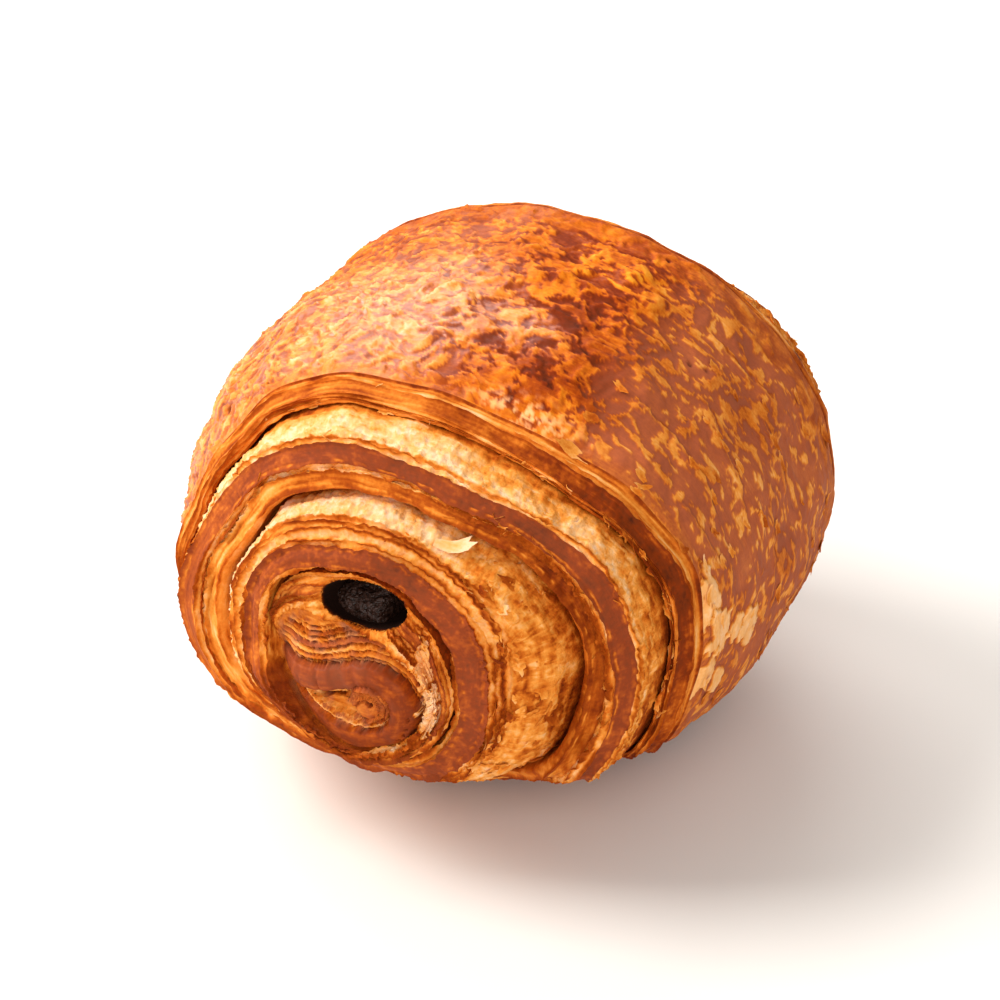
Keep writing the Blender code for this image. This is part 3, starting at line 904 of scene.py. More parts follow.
@dataclass(frozen=True)
class Spot:
    """An oval mark on the cut face, with a depth and looks of its own."""

    x: float
    z: float
    half_x: float
    half_z: float
    tilt: float = 0.0
    lift: float = 0.0
    looks: tuple = ()

    def share(self, x: Array, z: Array) -> Array:
        """How far each point lies from the middle, where 1 is on the oval's edge.

        Args:
            x: Places across the roll.
            z: Heights.

        Returns:
            The share of the way at each point.
        """
        turn = radians(self.tilt)
        across = (x - self.x) * np.cos(turn) + (z - self.z) * np.sin(turn)
        up = (z - self.z) * np.cos(turn) - (x - self.x) * np.sin(turn)
        return np.hypot(across / self.half_x, up / self.half_z)


@dataclass(frozen=True)
class Ply:
    """One layer beside the curl: how far out it ends, its tone, its lift and the crack after it."""

    until: float
    tone: float
    crumb: float
    lift: float
    crack: float
    rose: float = 0.0


@dataclass
class Curl:
    """The curled inner end of the sheet: a flat tongue that bends round an eye and runs on."""

    path: tuple = (
        (-10.2, 27.9), (-8.0, 27.6), (-5.0, 27.7), (-2.0, 28.6), (1.2, 29.7), (3.6, 29.4),
        (5.6, 27.9), (6.4, 25.6), (5.9, 23.0), (4.4, 21.1), (2.0, 20.0), (-0.8, 19.7),
        (-4.7, 20.7), (-8.6, 22.2), (-11.6, 24.3), (-14.0, 27.0), (-14.9, 30.2),
    )
    half_width: float = 1.75
    crown: float = 1.35
    outside: tuple = (
        Ply(2.15, Tone.GOLD, 0.7, 0.15, 0.9),
        Ply(2.9, Tone.AMBER, 0.2, 0.15, 0.7),
        Ply(3.7, Tone.GOLD, 0.5, 0.1, 0.5),
        Ply(4.5, Tone.TAN, 0.1, 0.25, 0.9, 0.5),
        Ply(5.1, Tone.GOLD, 0.5, 0.2, 0.6),
        Ply(5.7, Tone.AMBER + 0.06, 0.2, 0.3, 0.7),
        Ply(6.3, Tone.GOLD, 0.5, 0.15, 0.6),
        Ply(7.0, Tone.AMBER, 0.2, 0.25, 0.6),
        Ply(30.0, Tone.AMBER, 0.2, 0.1, 0.0),
    )
    inside: tuple = (
        Ply(2.25, Tone.PALE, 0.5, -0.1, 0.4),
        Ply(3.0, Tone.GOLD, 0.3, -0.8, 0.3),
        Ply(30.0, Tone.AMBER, 0.3, -1.2, 0.0),
    )
    eye: tuple = (1.7, 25.5)
    eye_reach: float = 2.9
    seam: tuple = (
        (-3.2, 24.9), (-1.0, 26.4), (0.2, 27.6), (1.0, 27.4), (2.8, 27.3), (4.0, 25.8),
        (3.8, 24.0), (2.2, 22.9), (0.4, 23.1), (-0.6, 24.2), (0.2, 25.4), (1.2, 25.9), (1.7, 25.5),
    )
    spots: tuple = (
        # The first two marks are sunk and painted dark: painted shadow under the tongue and painted shade in
        # the eye. The third is a golden nub.
        Spot(-3.8, 25.4, 2.2, 0.5, -4.0, -1.5, (("bake", 0.86), ("crumb", 0.3))),
        Spot(1.7, 25.5, 0.4, 0.33, 0.0, -1.3, (("bake", 1.0),)),
        Spot(-7.2, 36.4, 1.7, 0.8, 14.0, 0.8, (("bake", 0.24), ("crumb", 0.05))),
    )
    torn_spots: tuple = (
        Spot(8.9, 30.4, 1.1, 5.4, 3.0, -0.25, (("bake", 0.16), ("crumb", 1.0), ("rose", 0.0))),
        Spot(9.3, 26.2, 1.3, 3.6, -8.0, -0.2, (("bake", 0.08), ("crumb", 1.0), ("rose", 0.0))),
    )

    def shown(self) -> Array:
        """The band's middle line, rounded by cutting its corners twice.

        Returns:
            The line's points as X and Z.
        """
        line = np.array(self.path)
        for _ in range(2):
            ahead, behind = line[1:], line[:-1]
            cut = np.stack([0.75 * behind + 0.25 * ahead, 0.25 * behind + 0.75 * ahead], axis=1)
            line = np.vstack([line[:1], cut.reshape(-1, 2), line[-1:]])
        return line

    @staticmethod
    def nearest(x: Array, z: Array, line: Array) -> tuple[Array, Array]:
        """Measure points against a line of straight pieces.

        Args:
            x: Places across the roll.
            z: Heights.
            line: The line's points as X and Z.

        Returns:
            The signed distance of each point to the line, and how far along it that is.
        """
        best = np.full(x.shape, 1e9)
        signed = np.zeros(x.shape)
        travel = np.zeros(x.shape)
        start = 0.0
        for (ax, az), (bx, bz) in zip(line[:-1], line[1:]):
            run_x, run_z = bx - ax, bz - az
            length = np.hypot(run_x, run_z)
            along = np.clip(((x - ax) * run_x + (z - az) * run_z) / length**2, 0.0, 1.0)
            gap_x, gap_z = x - ax - along * run_x, z - az - along * run_z
            gap = np.hypot(gap_x, gap_z)
            side = np.where(run_x * gap_z - run_z * gap_x >= 0.0, 1.0, -1.0)
            closer = gap < best
            best = np.where(closer, gap, best)
            signed = np.where(closer, gap * side, signed)
            travel = np.where(closer, start + along * length, travel)
            start += length
        return signed, travel

    def relief(self, patch: Patch, x: Array, z: Array, weight: Array) -> Array:
        """Paint the curl's looks on a patch and work out its relief.

        Args:
            patch: The surface, whose looks are moved towards the curl's.
            x: Places across the roll in millimetres, before any shift of the end.
            z: Heights in millimetres.
            weight: How strongly the curl shows at each point, from 0 to 1.

        Returns:
            How far each point moves out of the face, in millimetres.
        """
        signed, travel = self.nearest(x, z, self.shown())
        line = np.stack([travel, 0.0 * travel, 0.0 * travel], axis=-1)
        ragged = 0.22 * Noise(41, 1.1, 2).at(line) + 0.2 * Noise(42, 5.0).at(line)
        gap = np.abs(signed) + ragged * smoothstep((np.abs(signed) - 1.0) / 0.8)
        lift = np.zeros_like(gap)
        leaves = Noise(45, 0.5, 2, (8.0, 1.0, 1.0)).at(np.stack([travel, signed, 0.0 * signed], axis=-1))
        for plies, side in ((self.outside, signed > 0.0), (self.inside, signed <= 0.0)):
            inner = self.half_width
            for ply in plies:
                within = smoothstep((gap - inner) / 0.12) * smoothstep((ply.until - gap) / 0.12)
                within = within * side * weight
                patch.blend(within, bake=ply.tone, crumb=ply.crumb, rose=ply.rose)
                lift += within * ply.lift
                crack = bell(gap - inner, 0.15) * side * weight
                lift -= ply.crack * crack
                # Painted shade: each ply's crack is darkened by its depth.
                patch.blend(np.clip(0.9 * ply.crack, 0.0, 0.75) * crack, bake=Tone.DARK)
                inner = ply.until
        band = smoothstep((self.half_width - gap) / 0.18) * weight
        tip = smoothstep((15.0 - travel) / 5.0)
        patch.blend(band, bake=Tone.BROWN - 0.03 + 0.1 * leaves, crumb=0.02, rose=0.08 + 0.32 * tip)
        patch.bake = patch.bake + 0.2 * leaves * (1.0 - band) * weight
        lift += leaves * (0.09 - 0.05 * band) * weight
        lift += band * self.crown * np.sqrt(np.clip(1.0 - (gap / (self.half_width + 0.3)) ** 2, 0, 1))
        dashes = smoothstep(0.25 + 2.0 * Noise(43, 0.8).at(line))
        holes = bell(signed - 0.75, 0.13) * dashes * weight * smoothstep((travel - 17.0) / 3.0)
        lift -= 0.45 * holes
        # Painted shade in the small sunk holes.
        patch.blend(0.7 * holes, bake=Tone.DARK, gloss=0.0)
        creases = bell(Noise(44, 2.6).at(line), 0.1) * band * smoothstep((14.0 - travel) / 3.0)
        lift -= 0.3 * creases
        # Painted shade in the sunk creases of the tongue.
        patch.blend(0.55 * creases, bake=Tone.DARK)
        return lift + self.eye_relief(patch, x, z, weight)

    def tear_open(self, patch: Patch, end: End, weight: Array) -> None:
        """Lay bare the pale torn patches beside the curl, with uneven edges.

        Args:
            patch: The heart's whole face, whose looks and points are changed.
            end: The end that it belongs to.
            weight: How strongly the patches show at each point, from 0 to 1.
        """
        x = patch.points[..., 0] - end.core_shift
        z = patch.points[..., 2]
        ragged = Noise(46, 0.9, 3).at(patch.points)
        crumbs = Noise(47, 0.8, 2).at(patch.points)
        for spot in self.torn_spots:
            away = spot.share(x, z) + 0.35 * ragged
            edge = smoothstep((1.05 - away) / 0.15) * weight
            patch.blend(edge, **dict(spot.looks))
            patch.bake = patch.bake + 0.12 * crumbs * edge
            patch.blend(0.6 * bell(away - 1.1, 0.08) * weight, bake=Tone.DARK)
            patch.points[..., 1] += end.facing.value * edge * (spot.lift + 0.22 * crumbs)

    def eye_relief(self, patch: Patch, x: Array, z: Array, weight: Array) -> Array:
        """Paint the small curl about the eye, with its spiral seam, and the oval marks.

        Args:
            patch: The surface, whose looks are moved towards the curl's.
            x: Places across the roll in millimetres, before any shift of the end.
            z: Heights in millimetres.
            weight: How strongly the curl shows at each point, from 0 to 1.

        Returns:
            How far each point moves out of the face, in millimetres.
        """
        radius = np.hypot(x - self.eye[0], z - self.eye[1])
        ring = smoothstep((self.eye_reach - radius) / 0.25) * weight
        patch.blend(ring, bake=Tone.AMBER + 0.06, crumb=0.1, rose=0.35)
        lift = ring * (1.3 + 0.25 * np.cos(np.pi * radius / self.eye_reach))
        gap, travel = self.nearest(x, z, np.array(self.seam))
        seam = bell(gap, 0.16) * weight
        patch.blend(0.6 * seam, bake=Tone.BROWN)
        lift = lift - 0.5 * seam
        for spot in self.spots:
            edge = smoothstep((1.15 - spot.share(x, z)) / 0.3) * weight
            patch.blend(edge, **dict(spot.looks))
            lift = lift + spot.lift * edge
        return lift


@dataclass
class Mouth:
    """The opening of the channel: rounded sections that widen and rise outwards."""

    stations: tuple = (
        (9.0, -0.4, 35.5, 4.4, 1.7),
        (14.5, -0.2, 36.6, 5.2, 2.8),
        (17.5, 0.2, 37.8, 5.6, 3.1),
        (20.0, 0.7, 38.9, 5.8, 3.25),
        (24.0, 1.6, 40.8, 6.4, 3.8),
    )
    tilt: float = -10.0
    wall_share: float = 0.6
    ragged: float = 0.05

    def sections(self, proud: Array) -> tuple[Array, ...]:
        """The middle and half sizes of the opening at how proud a place lies."""
        table = np.array(self.stations)
        return tuple(np.interp(proud, table[:, 0], table[:, k]) for k in range(1, 5))

    def sink(self, patch: Patch, end: End) -> None:
        """Push the surface inside the opening's rim back into a cavity.

        A point's share of the way from the rim to the middle gives how deep it goes. Over the
        first part it runs down the wall, and over the rest across the cavity's floor.

        Args:
            patch: The surface that is opened.
            end: The end that it belongs to.
        """
        x = patch.points[..., 0] - end.core_shift
        z = patch.points[..., 2]
        facing = end.facing.value * end.depth_scale
        proud = (patch.points[..., 1] - end.rim_y) / facing
        mid_x, mid_z, half_x, half_z = self.sections(proud)
        turn = radians(self.tilt)
        across, up = (x - mid_x) / half_x, (z - mid_z) / half_z
        across, up = across * np.cos(turn) + up * np.sin(turn), up * np.cos(turn) - across * np.sin(turn)
        angle = np.arctan2(up, across)
        share = np.hypot(across, up)
        ring = np.stack([np.cos(angle), np.sin(angle), 0.0 * angle], axis=-1)
        share = share * (1.0 + self.ragged * Noise(51, 0.35, 2).at(ring))
        inside = (share < 1.0) & (proud > 12.0)
        inward = np.clip(1.0 - share, 0.0, 1.0)
        deepest = self.stations[0][0]
        down = np.clip(inward / self.wall_share, 0.0, 1.0) ** 0.8
        deep = mix(proud, deepest, down)
        new_x, new_z, new_half_x, new_half_z = self.sections(deep)
        radial = np.clip((1.0 - inward) / (1.0 - self.wall_share), 0.0, 1.0)
        wall_x = new_x + new_half_x * radial * np.cos(angle + turn)
        wall_z = new_z + new_half_z * radial * np.sin(angle + turn)
        rim = smoothstep((1.16 - share) / 0.16) * (proud > 12.0) * ~inside
        patch.points[..., 0] = np.where(inside, wall_x + end.core_shift, patch.points[..., 0])
        patch.points[..., 2] = np.where(inside, wall_z, z)
        lowered = end.rim_y + facing * np.where(inside, deep, proud - 0.35 * rim)
        patch.points[..., 1] = lowered
        # Inside the cavity the walls go near black: partly chocolate smeared on them, partly painted shade
        # of the deep hole.
        patch.blend(np.where(inside, smoothstep(down * 6.0), 0.0), bake=1.0, cocoa=1.0, gloss=0.0)
        patch.blend(0.6 * rim, bake=Tone.AMBER)


@dataclass
class PieceMaker:
    """Turns patches of points into mesh objects that ride on the part."""

    shift: Array
    weld: float = 0.002
    sharp_angle: float = radians(75.0)

    @staticmethod
    def quads(columns: int, rows: int, wrap: bool = False) -> Array:
        """Faces of a grid, as four corners each, down the rows first.

        Args:
            columns: How many columns of points the grid has.
            rows: How many rows of points it has.
            wrap: Whether the last column joins the first.

        Returns:
            The corner numbers, four to a face.
        """
        c = np.arange(columns if wrap else columns - 1)[:, None]
        r = np.arange(rows - 1)[None, :]
        after = (c + 1) % columns
        corners = [c * rows + r, c * rows + r + 1, after * rows + r + 1, after * rows + r]
        return np.stack(np.broadcast_arrays(*corners), axis=-1).reshape(-1, 4)

    def make(self, name: str, patch: Patch, faces: Array, flip: bool) -> bpy.types.Object:
        """Make one piece from points, looks and faces, with doubles merged.

        Args:
            name: The piece's name.
            patch: Its points and looks.
            faces: Corner numbers, four to a face. A triangle repeats its last corner.
            flip: Whether to turn the faces over.

        Returns:
            The new object, riding on the part.
        """
        points = patch.points.reshape(-1, 3)
        keys = np.round(points / self.weld).astype(np.int64)
        _, first, joined = np.unique(keys, axis=0, return_index=True, return_inverse=True)
        faces = joined.reshape(-1)[faces[:, ::-1] if flip else faces]
        same = faces == np.roll(faces, -1, axis=1)
        crossed = (faces[:, 0] == faces[:, 2]) | (faces[:, 1] == faces[:, 3])
        whole = faces[~same.any(axis=1) & ~crossed]
        thin = faces[(same.sum(axis=1) == 1) & ~crossed]
        drop = np.argmax(thin == np.roll(thin, -1, axis=1), axis=1)
        keep = np.ones(thin.shape, bool)
        keep[np.arange(len(thin)), drop] = False
        triangles = thin[keep].reshape(-1, 3)
        corners = np.concatenate([whole.ravel(), triangles.ravel()])
        starts = np.concatenate(
            [np.arange(len(whole)) * 4, len(whole) * 4 + np.arange(len(triangles)) * 3]
        )
        used, corners = np.unique(corners, return_inverse=True)
        first = first[used]
        mesh = bpy.data.meshes.new(name)
        mesh.vertices.add(len(first))
        mesh.vertices.foreach_set("co", ((points[first] + self.shift) * MM).ravel())
        mesh.loops.add(len(corners))
        mesh.loops.foreach_set("vertex_index", corners.ravel())
        mesh.polygons.add(len(starts))
        mesh.polygons.foreach_set("loop_start", starts)
        mesh.update(calc_edges=True)
        for label, values in patch.looks().items():
            layer = mesh.attributes.new(label, "FLOAT", "POINT")
            layer.data.foreach_set("value", values.reshape(-1)[first].astype(np.float32))
        layer = mesh.attributes.new("grain", "FLOAT_VECTOR", "POINT")
        grain = patch.grain.reshape(-1, 3)[first] * MM
        layer.data.foreach_set("vector", grain.astype(np.float32).ravel())
        mesh.shade_smooth()
        mesh.set_sharp_from_angle(angle=self.sharp_angle)
        piece = add_object(name, mesh)
        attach(piece, "root")
        return piece


def backed(patch: Patch, back: Array) -> tuple[Patch, Array]:
    """Close an open strip into a solid with one hidden row behind it and a cap at each end.

    Args:
        patch: A grid of columns and rows.
        back: One hidden point for each column.

    Returns:
        The patch with the hidden row added, and all of its faces.
    """
    columns, rows = patch.points.shape[:2]
    widened = Patch.join([patch, patch.part(slice(None), slice(-1, None))], 1)
    widened.points[:, -1] = back
    wide = rows + 1
    faces = [PieceMaker.quads(columns, wide)]
    c = np.arange(columns - 1)
    faces.append(np.stack([c * wide + rows, c * wide, (c + 1) * wide, (c + 1) * wide + rows], axis=-1))
    r = np.arange(rows - 1)
    base = (columns - 1) * wide
    faces.append(np.stack([r + 1, r, r * 0 + rows, r * 0 + rows], axis=-1))
    hidden = base + rows + r * 0
    faces.append(np.stack([base + r, base + r + 1, hidden, hidden], axis=-1))
    return widened, np.concatenate(faces)


@dataclass
class CutFace:
    """The pieces of one cut end: the lip, the second and inner turns, and the heart."""

    end: End
    maker: PieceMaker
    curl: Curl = field(default_factory=Curl)
    mouth: Mouth = field(default_factory=Mouth)
    rings: int = 44
    back_depth: float = 4.0
    plug_proud: float = 4.0
    leaf_count: int = 80
    leaf_seed: int = 77
    flake_count: int = 90
    flake_seed: int = 79
    edge_rows: int = 6
    clear_height: float = 6.0

    def names(self) -> tuple[str, str, str]:
        """The names of the turns' pieces, from the inner turn out."""
        return tuple(f"{self.end.name}_{part}" for part in ("inner_turn", "second_turn", "lip"))

    def torn_leaves(self, strips: list[Patch], leaves: "Leaves") -> None:
        """Scatter small torn leaves along the torn edges of the layers.

        Args:
            strips: The turns of the strip, from the heart out.
            leaves: What the leaves are added to.
        """
        draw = np.random.default_rng(self.leaf_seed)
        for strip in strips[1:]:
            place = self.pick(draw, strip, strip.torn**3, self.leaf_count)
            count = len(place[0])
            normal, along = grid_normals(strip.points)[place], self.run(strip, place)
            tilt = draw.normal(scale=0.5, size=(count, 3))
            size = draw.uniform(0.35, 1.1, count)
            bend, bake = draw.uniform(0.05, 0.3, count), draw.uniform(0.22, 0.5, count)
            middle = strip.points[place] + 0.12 * normal
            leaves.add(middle, along, normal + tilt, size, 0.45 * size, bend, bake)

    def flank_flakes(self, strip: Patch, leaves: "Leaves") -> None:
        """Lay flat ragged flakes over the open crumb at the right of the inner turn.

        Args:
            strip: The inner turn.
            leaves: What the flakes are added to.
        """
        draw = np.random.default_rng(self.flake_seed)
        x = strip.points[..., 0] - self.end.core_shift
        weight = smoothstep((strip.crumb - 0.6) / 0.2) * smoothstep((x - 12.0) / 6.0)
        place = self.pick(draw, strip, weight, self.flake_count)
        count = len(place[0])
        normal, along = grid_normals(strip.points)[place], self.run(strip, place)
        size = draw.uniform(0.5, 1.5, count)
        tilt = draw.normal(scale=0.12, size=(count, 3))
        bake = strip.bake[place] + draw.uniform(-0.14, 0.12, count)
        width = size * draw.uniform(0.4, 0.75, count)
        middle = strip.points[place] + 0.1 * normal
        leaves.add(middle, along, normal + tilt, size, width, 0.15 * size, bake)

    def pick(self, draw: np.random.Generator, strip: Patch, weight: Array, count: int) -> tuple:
        """Draw places on a strip, clear of its edges and of the surface that it lies on.

        Args:
            draw: Where the random numbers come from.
            strip: The turn of the strip.
            weight: How likely each of its points is.
            count: How many places a fully fine end gets.

        Returns:
            The columns and the rows of the places.
        """
        weight = weight * (strip.points[..., 2] > self.clear_height)
        weight = weight[:-1, self.edge_rows : -self.edge_rows]
        count = round(count * self.end.row_share**1.5)
        picked = draw.choice(weight.size, count, p=weight.ravel() / weight.sum())
        column, row = np.unravel_index(picked, weight.shape)
        return column, row + self.edge_rows

    @staticmethod
    def run(strip: Patch, place: tuple) -> Array:
        """The way from each place to the next column's point."""
        column, row = place
        return strip.points[column + 1, row] - strip.points[place]

    def paint_curl(self, patch: Patch, weight: Array) -> Array:
        """Paint the curl on a patch, and give how far each point moves out of the face."""
        x = patch.points[..., 0] - self.end.core_shift
        return self.curl.relief(patch, x, patch.points[..., 2], weight)

    def run_out(self, patch: Patch) -> None:
        """Carry the curl's band from the heart across the turns at the lower left.

        Args:
            patch: The turn, whose looks and points are changed.
        """
        x = patch.points[..., 0] - self.end.core_shift
        z = patch.points[..., 2]
        signed, travel = self.curl.nearest(x, z, self.curl.shown())
        weight = smoothstep((2.6 - np.abs(signed)) / 0.5) * smoothstep((travel - 26.0) / 4.0)
        weight = weight * smoothstep((46.0 - travel) / 4.0)
        lift = self.paint_curl(patch, weight)
        patch.points[..., 1] += self.end.facing.value * lift

    def turn_piece(self, name: str, strip: Patch) -> bpy.types.Object:
        """Make one turn as a closed piece, with a hidden back row inside the roll.

        Args:
            name: The piece's name.
            strip: The turn's finished grid.

        Returns:
            The new piece.
        """
        middle = (strip.points[:, 0] + strip.points[:, -1]) / 2.0
        facing = self.end.facing.value
        low = np.minimum(strip.points[:, 0, 1] * facing, strip.points[:, -1, 1] * facing)
        middle[:, 1] = facing * (low - self.back_depth)
        middle[:, 2] = np.maximum(middle[:, 2], 1.0)
        closed, faces = backed(strip, middle)
        return self.maker.make(name, closed, faces, facing > 0.0)

    def heart_rings(self, edge: Patch) -> Patch:
        """Rings that shrink from the strip's inner edge to the eye, before relief.

        A ring is the edge drawn towards the eye by its share, and its height eases from the
        edge's to the heart's own slightly domed face.

        Args:
            edge: The strip's innermost row, as a grid of columns and one row.

        Returns:
            A grid of columns and rings, the last of them the single point of the eye.
        """
        share = np.linspace(0.0, 1.0, self.rings + 1)[None, :]
        eye = np.array([self.curl.eye[0] + self.end.core_shift, 0.0, self.curl.eye[1]])
        points = mix(edge.points, eye[None, None, :], share[..., None])
        rise = mix(HEART_EDGE_PROUD, HEART_PROUD, smoothstep(2.0 * share))
        target = self.end.rim_y + self.end.facing.value * rise * self.end.depth_scale
        eased = smoothstep(3.0 * share)
        points[..., 1] = mix(edge.points[..., 1], target, eased)
        grain = points[..., [0, 2, 1]].copy()
        patch = Patch.over(points, grain)
        patch.blend(1.0, bake=Tone.AMBER, crumb=0.3)
        lift = self.paint_curl(patch, np.broadcast_to(smoothstep(share * 8.0), patch.bake.shape))
        fine = Noise(5, 0.55, 3).at(points)
        coarse = Noise(6, 1.7, 2).at(points)
        lift += patch.crumb * (0.14 * coarse + 0.1 * fine) + (1.0 - patch.crumb) * 0.03 * coarse
        patch.points[..., 1] += self.end.facing.value * lift * smoothstep(share * 10.0)
        patch.bake = patch.bake + 0.1 * coarse
        patch.gloss = np.clip(0.5 - patch.crumb, 0.0, 1.0)
        patch.flour = 0.6 * patch.crumb * smoothstep(0.25 + coarse)
        patch.points[:, -1] = patch.points[:1, -1]
        return patch

    def heart_piece(self, strip: Patch) -> bpy.types.Object:
        """Make the heart's outer turn and its rings as one closed plug.

        Args:
            strip: The heart's turn, whose last row is the edge of the rings.

        Returns:
            The new piece.
        """
        rings = self.heart_rings(strip.part(slice(None), slice(-1, None)))
        self.run_out(strip)
        rings.points[:, 0] = strip.points[:, -1]
        for name in rings.looks():
            getattr(rings, name)[:, 0] = getattr(strip, name)[:, -1]
        whole = Patch.join([strip, rings.part(slice(None), slice(1, None))], 1)
        columns, rows = whole.points.shape[:2]
        inside = smoothstep((np.arange(rows)[None, :] - 3.0) / 6.0)
        self.curl.tear_open(whole, self.end, inside)
        self.mouth.sink(whole, self.end)
        turn_rows = strip.points.shape[1]
        faces = [PieceMaker.quads(columns, rows)]
        border = np.concatenate([
            np.arange(columns) * rows,
            (columns - 1) * rows + np.arange(1, turn_rows),
        ])
        flat = {name: value.reshape(-1, *value.shape[2:]) for name, value in vars(whole).items()}
        middle = np.array([self.curl.eye[0], 0.0, 30.0])
        behind = mix(flat["points"][border], middle, 0.08)
        behind[:, 1] = self.end.rim_y + self.end.facing.value * self.plug_proud
        centre = behind.mean(axis=0, keepdims=True)
        count = columns * rows
        ring = count + np.arange(len(border))
        following = np.roll(np.arange(len(border)), -1)
        faces.append(np.stack([border, border[following], ring[following], ring], axis=-1)[:, ::-1])
        hub = np.full(len(border), count + len(border))
        faces.append(np.stack([ring, ring[following], hub, hub], axis=-1)[:, ::-1])
        added = np.concatenate([border, border[:1]])
        joined = Patch(*(np.concatenate([value, value[added]]) for value in flat.values()))
        joined.points[count:] = np.concatenate([behind, centre])
        name = f"{self.end.name}_heart"
        return self.maker.make(name, joined, np.concatenate(faces), self.end.facing is Facing.FAR)

    def build(self, leaves: "Leaves") -> list[bpy.types.Object]:
        """Make every piece of the end and add its torn leaves.

        Args:
            leaves: What the leaves are added to.

        Returns:
            The new pieces, from the inner turn out, and the heart.
        """
        cut = CutEnd(self.end)
        strips = [cut.strip(number) for number in range(4)]
        for inner, outer in zip(strips[:-1], strips[1:]):
            outer.points[:, -1] = inner.points[:, 0]
            inner.points[-1] = outer.points[0]
            for name in inner.looks():
                getattr(inner, name)[-1] = getattr(outer, name)[0]
        self.torn_leaves(strips, leaves)
        self.flank_flakes(strips[1], leaves)
        pieces = []
        for number, name in enumerate(self.names(), start=1):
            if number == 1:
                self.run_out(strips[1])
                strips[0].points[-1] = strips[1].points[0]
                self.mouth.sink(strips[1], self.end)
            pieces.append(self.turn_piece(name, strips[number]))
        pieces.append(self.heart_piece(strips[0]))
        return pieces


@dataclass
class Leaves:
    """Thin torn leaves of dough that stand off the surface, gathered into one piece."""

    maker: PieceMaker
    sides: int = 14
    rings: int = 4
    thickness: float = 0.07
    raggedness: float = 0.55
    gathered: list = field(default_factory=list)

    def add(self, middle: Array, along: Array, normal: Array, length: Array, width: Array,
            curl: Array, bake: Array) -> None:
        """Add leaves, each a bent oval sheet with an uneven edge.

        A leaf's point at ring share r and angle a lies r cos(a) half lengths along it and
        r sin(a) half widths across it, and the leaf bends up by its curl times the square of
        the way along.

        Args:
            middle: Where each leaf's middle lies, in millimetres.
            along: The way that each leaf runs.
            normal: The way that each leaf's upper side faces.
            length: Half of each leaf's length in millimetres.
            width: Half of each leaf's width in millimetres.
            curl: How far each leaf's ends bend up, in millimetres.
            bake: How far each leaf is baked.
        """
        normal = unit(normal)
        across = unit(np.cross(normal, along))
        along = np.cross(across, normal)
        angle = FULL_TURN * np.arange(self.sides) / self.sides
        share = np.linspace(0.0, 1.0, self.rings + 1)
        edge = np.stack([np.cos(angle), np.sin(angle), 0.0 * angle], axis=-1)
        edge = 2.0 * edge[None] + 9.0 * np.arange(len(middle))[:, None, None]
        reach = 1.0 + self.raggedness * Noise(91, 0.8, 2).at(edge)
        top = share[None, None, :]
        flat = np.concatenate([top, top[..., ::-1]], axis=-1)
        side = np.concatenate([np.ones(len(share)), -np.ones(len(share))])
        u = flat * reach[..., None] * np.cos(angle)[None, :, None]
        v = flat * reach[..., None] * np.sin(angle)[None, :, None]
        rise = curl[:, None, None] * (u**2 - 0.3 * v) * 1.2
        rise = rise + side * self.thickness / 2.0 * (1.0 - 0.7 * flat)
        points = middle[:, None, None, :] + (u * length[:, None, None])[..., None] * along[:, None, None, :]
        points = points + (v * width[:, None, None])[..., None] * across[:, None, None, :]
        points = points + rise[..., None] * normal[:, None, None, :]
        points[..., 2] = np.maximum(points[..., 2], 0.05)
        patch = Patch.over(points, points.copy())
        patch.bake = patch.bake + bake[:, None, None] + 0.12 * (1.0 - flat) - 0.1 * u
        patch.crumb = patch.crumb + 0.2
        self.gathered.append(patch)

    def build(self) -> bpy.types.Object:
        """Make the one piece that holds all leaves.

        Returns:
            The new piece.
        """
        whole = Patch.join(self.gathered, 0)
        count, sides, rows = whole.bake.shape
        one = PieceMaker.quads(sides, rows, wrap=True)
        faces = (one[None] + sides * rows * np.arange(count)[:, None, None]).reshape(-1, 4)
        return self.maker.make("torn_leaves", whole, faces, False)


